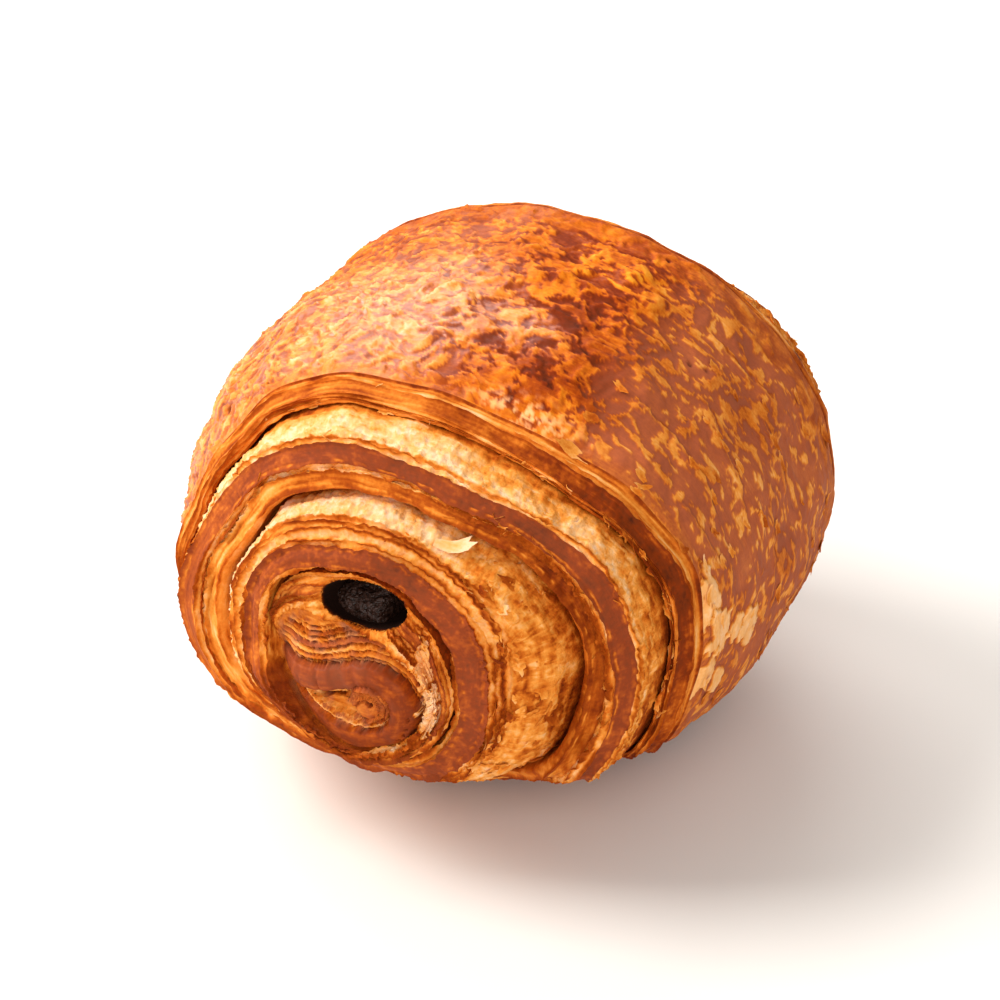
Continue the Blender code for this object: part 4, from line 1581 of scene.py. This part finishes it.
@dataclass
class Crust:
    """The baked outside of the roll, from the near rim to the far rim."""

    maker: PieceMaker
    rows: int = 148
    wall: float = 2.2
    wall_inset: float = 1.5
    lines_middle: tuple = (-16.8, 16.6, 59.4)
    lines_run: tuple = (0.82, -0.5, 0.27)
    lines_across: tuple = (0.5, 0.86, 0.1)
    lines_step: float = 0.95
    pinholes: tuple = (
        (-30.4, 5.3, 46.6, 0.6), (14.8, 42.4, 59.4, 0.35), (24.6, 25.4, 54.6, 0.35), (26.2, 26.7, 53.3, 0.3),
        (31.5, 22.0, 48.0, 0.3), (-26.0, 4.0, 50.5, 0.3),
    )
    flour_middle: tuple = (12.5, 1.3, 56.7)
    flour_size: tuple = (7.0, 2.2, 4.0)
    # Two spots on the top that are glossier and also painted paler: real gloss and a painted highlight.
    shine_middle: tuple = (-7.0, 12.0, 61.0)
    shine_size: tuple = (12.0, 9.0, 9.0)
    sheen_middle: tuple = (7.0, 14.5, 61.3)
    sheen_size: tuple = (5.5, 4.5, 6.0)
    deep_middle: tuple = (14.0, 16.0, 58.5)
    deep_size: tuple = (9.0, 12.0, 9.0)
    leaf_count: int = 60
    leaf_seed: int = 78
    named_leaves: tuple = (
        (10.6, -15.6, 46.9, 0.9, 0.4, 0.0, 0.1, -0.65, 0.75, 2.7, 1.0, 0.5, 0.02),
        (19.3, -0.4, 54.2, 0.75, 0.1, -0.6, 0.6, -0.4, 0.8, 2.4, 0.9, 0.3, 0.26),
    )
    skin_patches: tuple = (
        (36.4, -0.2, 36.5, 3.4, 0.5), (36.8, 3.4, 31.0, 2.7, -0.35), (37.4, 8.2, 29.0, 2.2, 0.7),
        (38.0, 12.6, 27.0, 2.6, -0.5), (37.0, 1.0, 25.5, 2.4, 0.3), (37.4, 6.0, 22.0, 1.9, -0.6),
    )
    tears: tuple = (
        ((16.3, 24.0, 59.2), (18.7, 24.7, 57.9), (21.9, 24.5, 56.3)),
        ((27.7, 22.2, 51.9), (32.2, 18.4, 46.9), (36.1, 15.3, 40.2)),
        ((22.0, 12.0, 55.5), (27.0, 12.5, 51.0), (31.0, 10.5, 46.5), (33.5, 9.0, 42.0)),
        ((33.0, 30.0, 47.0), (35.5, 29.0, 42.5), (37.5, 27.0, 37.0)),
        ((30.0, 4.5, 46.5), (32.5, 4.5, 43.5), (35.0, 5.5, 39.0)),
        ((24.0, 34.0, 55.5), (29.0, 33.5, 51.5), (33.5, 34.5, 46.5)),
        ((2.0, 27.0, 62.5), (7.0, 29.0, 61.8), (11.0, 28.5, 60.8)),
        ((36.5, 22.0, 38.0), (38.0, 20.0, 32.0), (38.3, 19.0, 26.0)),
    )

    def points(self) -> Array:
        """The plain crust.

        Returns:
            A grid of columns and places along the roll.
        """
        y = np.linspace(ROLL.near_rim_y, ROLL.far_rim_y, self.rows + 1)[None, :]
        angle = ROLL.angles()[:-1, None]
        return ROLL.place(ROLL.crust_outline(np.broadcast_to(y, (1, y.shape[1]))), angle, y)

    def sheet(self, points: Array) -> Array:
        """Places on the flattened crust: along the sheet's winding, and along the roll."""
        angle = np.arctan2(points[..., 2] - ROLL.core_z, points[..., 0] - ROLL.core_x)
        return np.stack([-angle * 36.0, points[..., 1], 0.0 * angle], axis=-1)

    def skin_leaves(self, patch: Patch, normal: Array, leaves: Leaves) -> None:
        """Scatter lifted bits of skin over the right side, and set the large named leaves.

        Args:
            patch: The crust's finished grid.
            normal: The way outwards at each of its points.
            leaves: What the leaves are added to.
        """
        draw = np.random.default_rng(self.leaf_seed)
        x, z = patch.points[..., 0], patch.points[..., 2]
        weight = smoothstep((x - 12.0) / 10.0) * smoothstep((z - 10.0) / 8.0)
        weight = weight * (patch.bake < 0.5) + 0.02 * (z > 12.0)
        picked = draw.choice(weight.size, self.leaf_count, p=weight.ravel() / weight.sum())
        column, row = np.unravel_index(picked, weight.shape)
        out = normal[column, row]
        around = np.cross(out, np.array([0.0, 1.0, 0.0])) + draw.normal(scale=0.3, size=out.shape)
        size = draw.uniform(0.4, 1.3, len(picked))
        leaves.add(
            patch.points[column, row] + 0.03 * out, around, out + draw.normal(scale=0.08, size=out.shape),
            size, size * draw.uniform(0.35, 0.6, len(picked)), 0.12 * size,
            patch.bake[column, row] + 0.02,
        )
        named = np.array(self.named_leaves)
        leaves.add(named[:, 0:3], named[:, 3:6], named[:, 6:9], *named[:, 9:13].T)

    def build(self, leaves: Leaves) -> bpy.types.Object:
        """Make the crust as a closed tube with a hidden inner wall, and add its leaves.

        Args:
            leaves: What the leaves are added to.

        Returns:
            The new piece.
        """
        points = self.points()
        patch = Patch.over(points, self.sheet(points))
        lift = self.relief(patch)
        ahead, behind = np.roll(points, -1, axis=0), np.roll(points, 1, axis=0)
        normal = unit(np.cross(ahead - behind, np.gradient(points, axis=1)))
        rows = points.shape[1]
        patch.points = points + normal * (lift * row_fade(rows))[..., None]
        patch.points[..., 2] = np.maximum(patch.points[..., 2], 0.0)
        self.skin_leaves(patch, normal, leaves)
        core = np.array([ROLL.core_x, 0.0, ROLL.core_z])
        inner = patch.part(slice(None), slice(None, None, rows - 1))
        inner.points = inner.points.copy()
        toward = core - inner.points
        toward[..., 1] = 0.0
        inner.points += unit(toward) * self.wall
        inner.points[..., 1] += np.array([self.wall_inset, -self.wall_inset])
        back, first = inner.part(slice(None), slice(None, None, -1)), patch.part(slice(None), slice(0, 1))
        closed = Patch.join([patch, back, first], 1)
        faces = PieceMaker.quads(closed.points.shape[0], closed.points.shape[1], wrap=True)
        return self.maker.make("crust", closed, faces, True)

    def relief(self, patch: Patch) -> Array:
        """Set the crust's looks, and work out its swells, skin, blisters, wrinkles and holes.

        The skin is the set of points where a warped noise is over a level. It is smooth, brown
        and a little raised, and between its torn edges the golden layer under it shows.

        Args:
            patch: The crust's grid, whose looks are set.

        Returns:
            How far each point moves out, in millimetres.
        """
        points, sheet = patch.points, patch.grain
        x, y, z = points[..., 0], points[..., 1], points[..., 2]
        warp = np.stack([Noise(s, 6.0, 2).at(points) for s in (11, 12, 13)], axis=-1)
        bent = sheet + 2.2 * warp
        broad = Noise(16, 11.0, 2).at(points)
        patches = Noise(21, 5.0, 2).at(bent)
        gentle = sheet + 1.2 * warp
        islands = Noise(15, 1.6, 3, (1.35, 1.0, 1.0)).at(gentle)
        specks = Noise(22, 0.75, 2, (1.3, 1.0, 1.0)).at(gentle)
        right = smoothstep((x - 14.0) / 10.0)
        left = smoothstep((6.0 - x) / 14.0)
        top = (1.0 - right) * (1.0 - left)
        islands = mix(islands, Noise(26, 3.0, 3, (1.7, 1.0, 1.0)).at(bent), 0.75 * top)
        level = 0.25 * broad + 0.2 * patches - 0.2 * right + 0.05 * top
        skin = smoothstep((islands + 0.35 * specks - level) / 0.3 + 0.5)
        gap, number = Cells(17, 3.6, (1.4, 1.0, 1.0)).at(bent)
        blister = np.sqrt(np.clip(1.0 - (gap / 0.5) ** 2, 0.0, 1.0)) * (number > 0.55)
        blister = blister * smoothstep(0.6 + 1.2 * patches) * (1.0 - 0.6 * right)
        worms = Noise(18, 2.3, 2, (1.6, 1.0, 1.0)).ridges(sheet + 2.4 * warp) ** 2
        fine_worms = Noise(23, 1.1, 2, (2.0, 1.0, 1.0)).ridges(sheet + 2.0 * warp) ** 2
        lines = self.fine_lines(points, warp)
        lift = 0.4 * Noise(14, 13.0, 2).at(points) + 0.14 * patches
        lift += 0.1 * (1.0 - skin) * (top + right) + 0.4 * blister + 0.05 * specks
        lift += (0.05 + 0.3 * left + 0.16 * top) * (worms - 0.3)
        lift += (0.05 + 0.07 * left) * (fine_worms - 0.3) + lines * 0.14
        base = 0.53 * left + 0.74 * top + 0.67 * right + 0.1 * broad + 0.12 * patches
        base = base + 0.1 * smoothstep((y - 24.0) / 10.0) * left
        deep = oval_share(points, self.deep_middle, self.deep_size)
        gloss_highlight = bell(oval_share(points, self.sheen_middle, self.sheen_size), 1.0)
        # Painted highlight: the bake is lighter on the glossier spot at the top.
        base = base + 0.15 * bell(deep, 1.0) - 0.2 * gloss_highlight
        contrast = 0.2 * left + 0.34 * top + 0.32 * right
        patch.bake = base - contrast * (1.0 - skin) + 0.05 * specks
        patch.bake -= (0.2 * left + 0.16 * top) * (worms - 0.3) + 0.12 * blister - 0.05 * lines
        patch.rose = np.clip(0.95 * right * skin + 0.3 * left * skin, 0.0, 1.0)
        back = smoothstep((y - 22.0) / 12.0)
        shine_highlight = oval_share(points, self.shine_middle, self.shine_size)
        # Painted highlight: both glossy spots get less glaze, so their colour is paler; their gloss is
        # raised below.
        patch.glaze = np.clip(top - 0.4 * bell(shine_highlight, 1.2) - 0.6 * gloss_highlight + 0.4 * left * back, 0.0, 1.0)
        patch.gloss = left * (0.78 - 0.25 * back) + 0.47 * top + 0.4 * right + 0.1 * (skin - 0.5)
        patch.gloss = patch.gloss + 0.42 * bell(shine_highlight, 1.0) + 0.3 * gloss_highlight
        patch.gloss = np.clip(patch.gloss - 0.25 * smoothstep((patch.bake - 0.62) / 0.2), 0.0, 1.0)
        patch.crumb = 0.15 * (1.0 - skin)
        lift += self.tear(patch, sheet)
        self.under_and_ends(patch, y, z)
        for middle in self.skin_patches:
            offset = sheet - self.sheet(np.array(middle[:3]))
            u, v = offset[..., 0], offset[..., 1]
            away = np.maximum(np.abs(u + middle[4] * v), np.abs(v - 0.8 * middle[4] * u)) / middle[3]
            away = away + 0.3 * patches + 0.3 * islands
            bare = smoothstep((1.0 - away) / 0.08)
            patch.blend(bare, bake=0.15 + 0.08 * islands, crumb=0.1, rose=0.0)
            rim = bell(away - 1.03, 0.05)
            patch.blend(0.6 * rim, bake=Tone.BROWN)
            lift += 0.25 * bare - 0.15 * rim
        for hole in self.pinholes:
            away = np.linalg.norm(points - np.array(hole[:3]), axis=-1)
            lift -= 1.4 * hole[3] * bell(away, hole[3])
            # Painted shade: each pinhole is darkened to near black.
            patch.blend(bell(away, hole[3]), bake=1.0, gloss=0.0, cocoa=0.5)
        dust = bell(oval_share(points, self.flour_middle, self.flour_size), 0.9)
        dust = dust * smoothstep(0.35 + 1.6 * Noise(20, 1.1, 3).at(points))
        patch.blend(0.85 * dust, flour=1.0, bake=Tone.CREAM, gloss=0.1)
        return lift

    def tear(self, patch: Patch, sheet: Array) -> Array:
        """Raise the torn edges of the skin along their lines, and show gold on them.

        Args:
            patch: The crust's grid, whose looks are set.
            sheet: Its places on the flattened crust.

        Returns:
            How far each point moves out, in millimetres.
        """
        lift = np.zeros(sheet.shape[:-1])
        ragged = 0.5 * Noise(24, 2.0, 3).at(sheet)
        for tear in self.tears:
            line = self.sheet(np.array(tear))[:, :2]
            gap, travel = Curl.nearest(sheet[..., 0], sheet[..., 1], line)
            length = np.linalg.norm(np.diff(line, axis=0), axis=1).sum()
            ends = smoothstep(travel / 1.5) * smoothstep((length - travel) / 1.5)
            gap = gap + ragged
            near = bell(gap, 1.6) * ends
            lift += 0.3 * near * smoothstep(0.5 - gap / 0.3)
            edge = bell(gap + 0.2, 0.3) * ends
            patch.blend(0.8 * edge, bake=Tone.GOLD + 0.04, rose=0.0)
            patch.blend(0.5 * bell(gap - 0.35, 0.2) * ends, bake=Tone.DARK)
        return lift

    def fine_lines(self, points: Array, warp: Array) -> Array:
        """A bundle of fine parallel folds in the skin at the upper left.

        Args:
            points: The crust's points.
            warp: How far patterns stray at each point.

        Returns:
            The folds as a wave from -1 to 1, which fades out round the bundle.
        """
        away = points - np.array(self.lines_middle)
        along = away @ unit(np.array(self.lines_run))
        across = away @ np.array(self.lines_across) + 0.04 * along**2 + 0.8 * warp[..., 0]
        near = bell(across, 3.6) * bell(along, 9.0)
        return near * np.cos(FULL_TURN * across / self.lines_step)

    def under_and_ends(self, patch: Patch, y: Array, z: Array) -> None:
        """Darken the underside, and lighten the plain strips near both rims.

        Args:
            patch: The crust's grid, whose looks are changed.
            y: Places along the roll.
            z: Heights.
        """
        under = smoothstep((7.0 - z) / 5.0)
        patch.blend(under, bake=Tone.BROWN + 0.05, gloss=0.1, rose=0.2, crumb=0.15)
        uneven = Noise(28, 2.6, 3).at(patch.points)
        strip = smoothstep((y - 40.4 + 1.4 * uneven) / 0.9)
        patch.blend(0.7 * strip, bake=Tone.AMBER + 0.06 + 0.12 * uneven, rose=0.1)
        rim = smoothstep((2.6 - y) / 2.4) * (1.0 - under)
        patch.blend(0.55 * rim, bake=Tone.AMBER, rose=0.15, gloss=0.5)


@dataclass
class Filling:
    """The chocolate baton, with soft crumbly ends."""

    maker: PieceMaker
    half_width: float = 5.0
    half_height: float = 2.5
    middle_x: float = -0.4
    middle_z: float = 35.3
    near_y: float = -16.6
    far_y: float = 60.5
    sides: int = 96
    face_rings: int = 10
    cap_rings: int = 14
    fine_rings: int = 36
    fine_reach: float = 10.0
    tip_share: float = 0.55
    rounding: float = 2.0
    break_x: float = 1.2
    break_depth: float = 5.0

    def build(self) -> bpy.types.Object:
        """Make the baton as a closed rounded bar, rough where it shows at the ends.

        Its section is a rounded rectangle, x = w cos(a)^0.6 and z = h sin(a)^0.6, and towards
        each end the section closes in over a quarter circle.

        Returns:
            The piece that stands for the baton.
        """
        angle = FULL_TURN * np.arange(self.sides)[:, None] / self.sides
        turn = np.linspace(0.0, np.pi / 2.0, self.cap_rings)
        cap = self.rounding * (1.0 - np.cos(turn))
        narrow = mix(self.tip_share, 1.0, np.sin(turn))
        fine = np.linspace(self.rounding, self.fine_reach, self.fine_rings)[1:]
        end_place = np.concatenate([np.zeros(self.face_rings), cap, fine])
        face = np.linspace(0.0, self.tip_share, self.face_rings + 1)[:-1]
        end_scale = np.concatenate([face, narrow, np.ones(len(fine))])
        place = np.concatenate([self.near_y + end_place, self.far_y - end_place[::-1]])
        scale = np.concatenate([end_scale, end_scale[::-1]])
        cos, sin = np.cos(angle), np.sin(angle)
        x = self.middle_x + self.half_width * scale * np.sign(cos) * np.abs(cos) ** 0.6
        z = self.middle_z + self.half_height * scale * np.sign(sin) * np.abs(sin) ** 0.6
        points = np.stack(np.broadcast_arrays(x, place[None, :], z), axis=-1)
        end = smoothstep((self.near_y + 6.0 - place) / 5.0) + smoothstep((place - self.far_y + 6.0) / 5.0)
        lumps = 0.55 * Noise(61, 1.6, 3).at(points) + 0.5 * Noise(62, 0.9, 2).ridges(points) - 0.2
        outward = points - np.array([self.middle_x, 0.0, self.middle_z]) * [1, 0, 1]
        outward[..., 1] = 0.0
        push = (lumps - 0.3) * end[None, :]
        points = points + unit(outward, 0.4) * push[..., None]
        points[..., 1] += 0.5 * np.abs(push) * np.where(place < 20.0, 1.0, -1.0)
        broken = smoothstep((points[..., 0] - self.middle_x - self.break_x) / 2.2)
        broken = np.minimum(broken + 0.3 * smoothstep((points[..., 2] - self.middle_z - 0.6) / 1.6), 1.0)
        points[..., 1] += self.break_depth * broken * smoothstep((self.near_y + 8.0 - place) / 8.0)
        patch = Patch.over(points, points.copy())
        patch.bake = patch.bake + end[None, :]
        faces = PieceMaker.quads(self.sides, points.shape[1], wrap=True)
        return self.maker.make("chocolate_filling", patch, faces, False)


@dataclass
class Graph:
    """A short way to add nodes to one tree and to join them."""

    tree: bpy.types.NodeTree

    def add(self, kind: str, inputs: dict | None = None, **settings: object) -> bpy.types.Node:
        """Add a node.

        Args:
            kind: The node's type.
            inputs: Values or output sockets for its input sockets, by name or number.
            **settings: Properties of the node.

        Returns:
            The new node.
        """
        node = self.tree.nodes.new(kind)
        for name, value in settings.items():
            setattr(node, name, value)
        for name, value in (inputs or {}).items():
            if isinstance(value, bpy.types.NodeSocket):
                self.tree.links.new(value, node.inputs[name])
            else:
                node.inputs[name].default_value = value
        return node

    def attribute(self, name: str) -> bpy.types.NodeSocket:
        """The value of an attribute of the points."""
        return self.add("ShaderNodeAttribute", attribute_name=name).outputs["Fac"]

    def math(self, operation: str, *values: object) -> bpy.types.NodeSocket:
        """A sum of up to three values, by a named operation."""
        inputs = dict(enumerate(values))
        return self.add("ShaderNodeMath", inputs, operation=operation).outputs[0]

    def ramp(self, value: bpy.types.NodeSocket, stops: tuple) -> bpy.types.NodeSocket:
        """A colour read from a ramp.

        Args:
            value: Where the ramp is read, from 0 to 1.
            stops: Each stop's place and colour.

        Returns:
            The colour.
        """
        node = self.add("ShaderNodeValToRGB", {"Fac": value})
        marks = node.color_ramp.elements
        while len(marks) < len(stops):
            marks.new(0.5)
        for mark, (place, colour) in zip(marks, stops):
            mark.position = place
            mark.color = (*colour, 1.0)
        return node.outputs["Color"]

    def noise(self, vector: bpy.types.NodeSocket, size: float, detail: float) -> bpy.types.NodeSocket:
        """A noise with grains of the given size in millimetres."""
        inputs = {"Vector": vector, "Scale": 1.0 / (size * MM), "Detail": detail}
        return self.add("ShaderNodeTexNoise", inputs).outputs["Fac"]

    def blend(self, share: object, a: object, b: object, way: str = "MIX") -> bpy.types.NodeSocket:
        """A colour a share of the way from a to b, or to both of them blended another way."""
        inputs = {0: share, 6: a, 7: b}
        return self.add("ShaderNodeMix", inputs, data_type="RGBA", blend_type=way).outputs[2]


def new_material(name: str) -> tuple[bpy.types.Material, Graph, bpy.types.Node]:
    """Make an empty material.

    Args:
        name: Its name.

    Returns:
        The material, its graph and its shader.
    """
    made = bpy.data.materials.new(name)
    made.use_nodes = True
    return made, Graph(made.node_tree), made.node_tree.nodes["Principled BSDF"]


def add_object(name: str, data: bpy.types.ID) -> bpy.types.Object:
    """Add an object that shows a mesh, a light or a camera to the scene."""
    piece = bpy.data.objects.new(name, data)
    bpy.context.scene.collection.objects.link(piece)
    return piece


@dataclass(frozen=True)
class DoughFinish:
    """Baked laminated dough: pale crumb through golden to dark brown, with a glazed crust."""

    name: str = "baked_dough"
    stops: tuple = (
        (0.0, (0.84, 0.53, 0.31)),
        (0.14, (0.82, 0.41, 0.14)),
        (0.3, (0.74, 0.27, 0.04)),
        (0.45, (0.58, 0.15, 0.012)),
        (0.58, (0.365, 0.066, 0.003)),
        (0.74, (0.195, 0.025, 0.001)),
        (0.88, (0.14, 0.021, 0.002)),
        (1.0, (0.07, 0.011, 0.002)),
    )
    mauve: tuple = (0.46, 0.125, 0.056, 1.0)
    glaze: tuple = (1.0, 0.82, 0.2, 1.0)
    flour: tuple = (0.86, 0.62, 0.38, 1.0)
    # Near black: chocolate smeared in the channel, and painted shade in holes.
    cocoa: tuple = (0.022, 0.009, 0.006, 1.0)
    rose_share: float = 0.55
    flour_share: float = 0.6
    roughness: float = 0.78
    gloss_smoothing: float = 0.3
    coat_from: float = 0.45
    coat_gain: float = 1.15
    coat_roughness: float = 0.27
    coat_ior: float = 1.6
    specular: float = 0.07
    bump_depth: float = 0.22 * MM

    def mottling(self) -> bpy.types.NodeTree:
        """A group that shades the bake by small grains and by streaks along the layers.

        Returns:
            The group, which puts out the shaded bake and a height for the bump.
        """
        tree = bpy.data.node_groups.new("dough_mottling", "ShaderNodeTree")
        sockets = (
            ("Bake", "INPUT", "Float"), ("Crumb", "INPUT", "Float"), ("Place", "INPUT", "Vector"),
            ("Sheet", "INPUT", "Vector"), ("Bake", "OUTPUT", "Float"), ("Height", "OUTPUT", "Float"),
        )
        for name, side, kind in sockets:
            tree.interface.new_socket(name, in_out=side, socket_type=f"NodeSocket{kind}")
        graph = Graph(tree)
        given = graph.add("NodeGroupInput").outputs
        grains = graph.noise(given["Place"], 0.45, 4.0)
        patches = graph.noise(given["Place"], 2.4, 3.0)
        squeeze = graph.add(
            "ShaderNodeVectorMath", {0: given["Sheet"], 1: (0.12, 1.0, 1.0)}, operation="MULTIPLY"
        ).outputs[0]
        streaks = graph.noise(squeeze, 0.32, 3.0)
        fine = graph.math("MULTIPLY_ADD", grains, 0.22, -0.11)
        broad = graph.math("MULTIPLY_ADD", patches, 0.2, -0.1)
        lines = graph.math("MULTIPLY_ADD", streaks, 0.16, -0.08)
        total = graph.math("ADD", graph.math("ADD", fine, broad), lines)
        bake = graph.math("ADD", given["Bake"], total)
        open_grain = graph.math("MULTIPLY", grains, given["Crumb"])
        height = graph.math("MULTIPLY_ADD", streaks, 0.25, open_grain)
        graph.add("NodeGroupOutput", {"Bake": bake, "Height": height})
        return tree

    def material(self) -> bpy.types.Material:
        """Build the material.

        Returns:
            The dough's material, which reads the looks stored on the points.
        """
        made, graph, shader = new_material(self.name)
        link = made.node_tree.links.new
        place = graph.add("ShaderNodeTexCoord").outputs["Object"]
        sheet = graph.add("ShaderNodeAttribute", attribute_name="grain").outputs["Vector"]
        names = ("bake", "crumb", "gloss", "glaze", "rose", "flour", "cocoa")
        bake, crumb, gloss, glaze, rose, flour, cocoa = (graph.attribute(name) for name in names)
        mottled = graph.add("ShaderNodeGroup", node_tree=self.mottling())
        for name, value in {"Bake": bake, "Crumb": crumb, "Place": place, "Sheet": sheet}.items():
            link(value, mottled.inputs[name])
        colour = graph.ramp(mottled.outputs["Bake"], self.stops)
        colour = graph.blend(glaze, colour, self.glaze, "MULTIPLY")
        colour = graph.blend(graph.math("MULTIPLY", rose, self.rose_share), colour, self.mauve)
        colour = graph.blend(graph.math("MULTIPLY", flour, self.flour_share), colour, self.flour)
        colour = graph.blend(cocoa, colour, self.cocoa)
        link(colour, shader.inputs["Base Color"])
        rough = graph.math("MULTIPLY_ADD", gloss, -self.gloss_smoothing, self.roughness)
        link(rough, shader.inputs["Roughness"])
        coat = graph.math("MULTIPLY", graph.math("SUBTRACT", gloss, self.coat_from), self.coat_gain)
        link(graph.math("MAXIMUM", coat, 0.0), shader.inputs["Coat Weight"])
        shader.inputs["Coat Roughness"].default_value = self.coat_roughness
        shader.inputs["Coat IOR"].default_value = self.coat_ior
        shader.inputs["Specular IOR Level"].default_value = self.specular
        inputs = {"Height": mottled.outputs["Height"], "Strength": 0.8, "Distance": self.bump_depth}
        link(graph.add("ShaderNodeBump", inputs).outputs["Normal"], shader.inputs["Normal"])
        return made


@dataclass(frozen=True)
class ChocolateFinish:
    """Dark chocolate that has melted and set again: glossy, with dull crumbly grains."""

    name: str = "dark_chocolate"
    dark: tuple = (0.018, 0.007, 0.004)
    light: tuple = (0.075, 0.03, 0.019)
    grain_size: float = 0.5
    bump_depth: float = 0.5 * MM

    def material(self) -> bpy.types.Material:
        """Build the material.

        Returns:
            The chocolate's material, with one noise behind its colour, sheen and bumps.
        """
        made, graph, shader = new_material(self.name)
        link = made.node_tree.links.new
        place = graph.add("ShaderNodeTexCoord").outputs["Object"]
        grains = graph.noise(place, self.grain_size, 5.0)
        colour = graph.ramp(grains, ((0.35, self.dark), (0.7, self.light)))
        link(colour, shader.inputs["Base Color"])
        link(graph.math("MULTIPLY_ADD", grains, 0.6, 0.02), shader.inputs["Roughness"])
        inputs = {"Height": grains, "Strength": 1.0, "Distance": self.bump_depth}
        link(graph.add("ShaderNodeBump", inputs).outputs["Normal"], shader.inputs["Normal"])
        return made


@dataclass(frozen=True)
class Lamp:
    """A square soft light: the way to it, how far off it is, its side, power and colour."""

    name: str
    direction: tuple
    distance: float
    size: float
    power: float
    colour: tuple

    def place(self, height: float) -> None:
        """Add the light, looking at a height above the middle of the part.

        Args:
            height: The height that it looks at, in metres.
        """
        light = bpy.data.lights.new(self.name, "AREA")
        light.shape = "SQUARE"
        light.size = self.size
        light.energy = self.power
        light.color = self.colour
        way = Vector(self.direction).normalized()
        turned = way.to_track_quat("Z", "Y").to_matrix().to_4x4()
        turned.translation = way * self.distance + Vector((0.0, 0.0, height))
        add_object(self.name, light).matrix_world = turned


@dataclass
class Studio:
    """The pale floor, the soft lights and the camera."""

    camera_at: tuple = (0.18091, -0.41105, 0.28252)
    looking: tuple = (-0.3498, 0.79949, -0.48832)
    lens: float = 143.10
    sensor: float = 36.0
    floor_size: float = 6.0
    floor_colour: tuple = (0.8, 0.78, 0.75, 1.0)
    floor_roughness: float = 0.9
    sky: tuple = (1.0, 0.98, 0.95, 1.0)
    sky_strength: float = 0.48
    look_height: float = 0.03
    lamps: tuple = (
        Lamp("key", (-0.7, -0.2, 0.69), 0.9, 0.5, 10.3, (1.0, 0.97, 0.93)),
        Lamp("rim", (-0.47, 0.61, 0.64), 0.9, 0.7, 5.5, (1.0, 0.97, 0.94)),
        Lamp("fill", (0.4, -0.85, 0.42), 1.1, 0.9, 7.5, (1.0, 0.96, 0.92)),
    )

    def camera(self) -> None:
        """Make the camera, level and unshifted, and give it to the scene."""
        lens = bpy.data.cameras.new("camera")
        lens.sensor_width = self.sensor
        lens.lens = self.lens
        lens.clip_start = 0.01
        piece = add_object("camera", lens)
        back = -Vector(self.looking).normalized()
        right = Vector((0.0, 0.0, 1.0)).cross(back).normalized()
        turned = Matrix((right, back.cross(right), back)).transposed().to_4x4()
        turned.translation = Vector(self.camera_at)
        piece.matrix_world = turned
        bpy.context.scene.camera = piece

    def floor(self) -> None:
        """Add the floor, a plain pale sheet."""
        half = self.floor_size / 2.0
        mesh = bpy.data.meshes.new("floor")
        corners = [(-half, -half, 0.0), (half, -half, 0.0), (half, half, 0.0), (-half, half, 0.0)]
        mesh.from_pydata(corners, [], [(0, 1, 2, 3)])
        made, _, shader = new_material("floor")
        shader.inputs["Base Color"].default_value = self.floor_colour
        shader.inputs["Roughness"].default_value = self.floor_roughness
        mesh.materials.append(made)
        add_object("floor", mesh)

    def build(self) -> None:
        """Set up the studio."""
        scene = bpy.context.scene
        scene.view_settings.view_transform = "Standard"
        world = bpy.data.worlds.new("studio")
        world.use_nodes = True
        sky = world.node_tree.nodes["Background"]
        sky.inputs["Color"].default_value = self.sky
        sky.inputs["Strength"].default_value = self.sky_strength
        scene.world = world
        self.camera()
        self.floor()
        for lamp in self.lamps:
            lamp.place(self.look_height)


def part_shift(filling: Filling) -> Array:
    """How far the roll's own frame moves to match the part, from where the baton lies in it."""
    low, high = (np.array(corner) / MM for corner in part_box("chocolate_baton"))
    return np.array([(low[0] + high[0]) / 2.0 - filling.middle_x, low[1] - filling.near_y, 0.0])


def main() -> None:
    """Build the dressed part and its studio, and report each piece."""
    logging.basicConfig(level=logging.INFO, format="%(message)s")
    maker = PieceMaker(part_shift(Filling(PieceMaker(np.zeros(3)))))
    dough = DoughFinish().material()
    leaves = Leaves(maker)
    crust = Crust(maker).build(leaves)
    pieces = [crust]
    for end in (NEAR_END, FAR_END):
        pieces.extend(CutFace(end, maker).build(leaves))
    pieces.append(leaves.build())
    for piece in pieces:
        piece.data.materials.append(dough)
    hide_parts("pastry")
    filling = Filling(maker).build()
    filling.data.materials.append(ChocolateFinish().material())
    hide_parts("chocolate_baton")
    Studio().build()
    for piece in [*pieces, filling]:
        LOG.info("%s: %d faces", piece.name, len(piece.data.polygons))


if __name__ == "__main__":
    main()
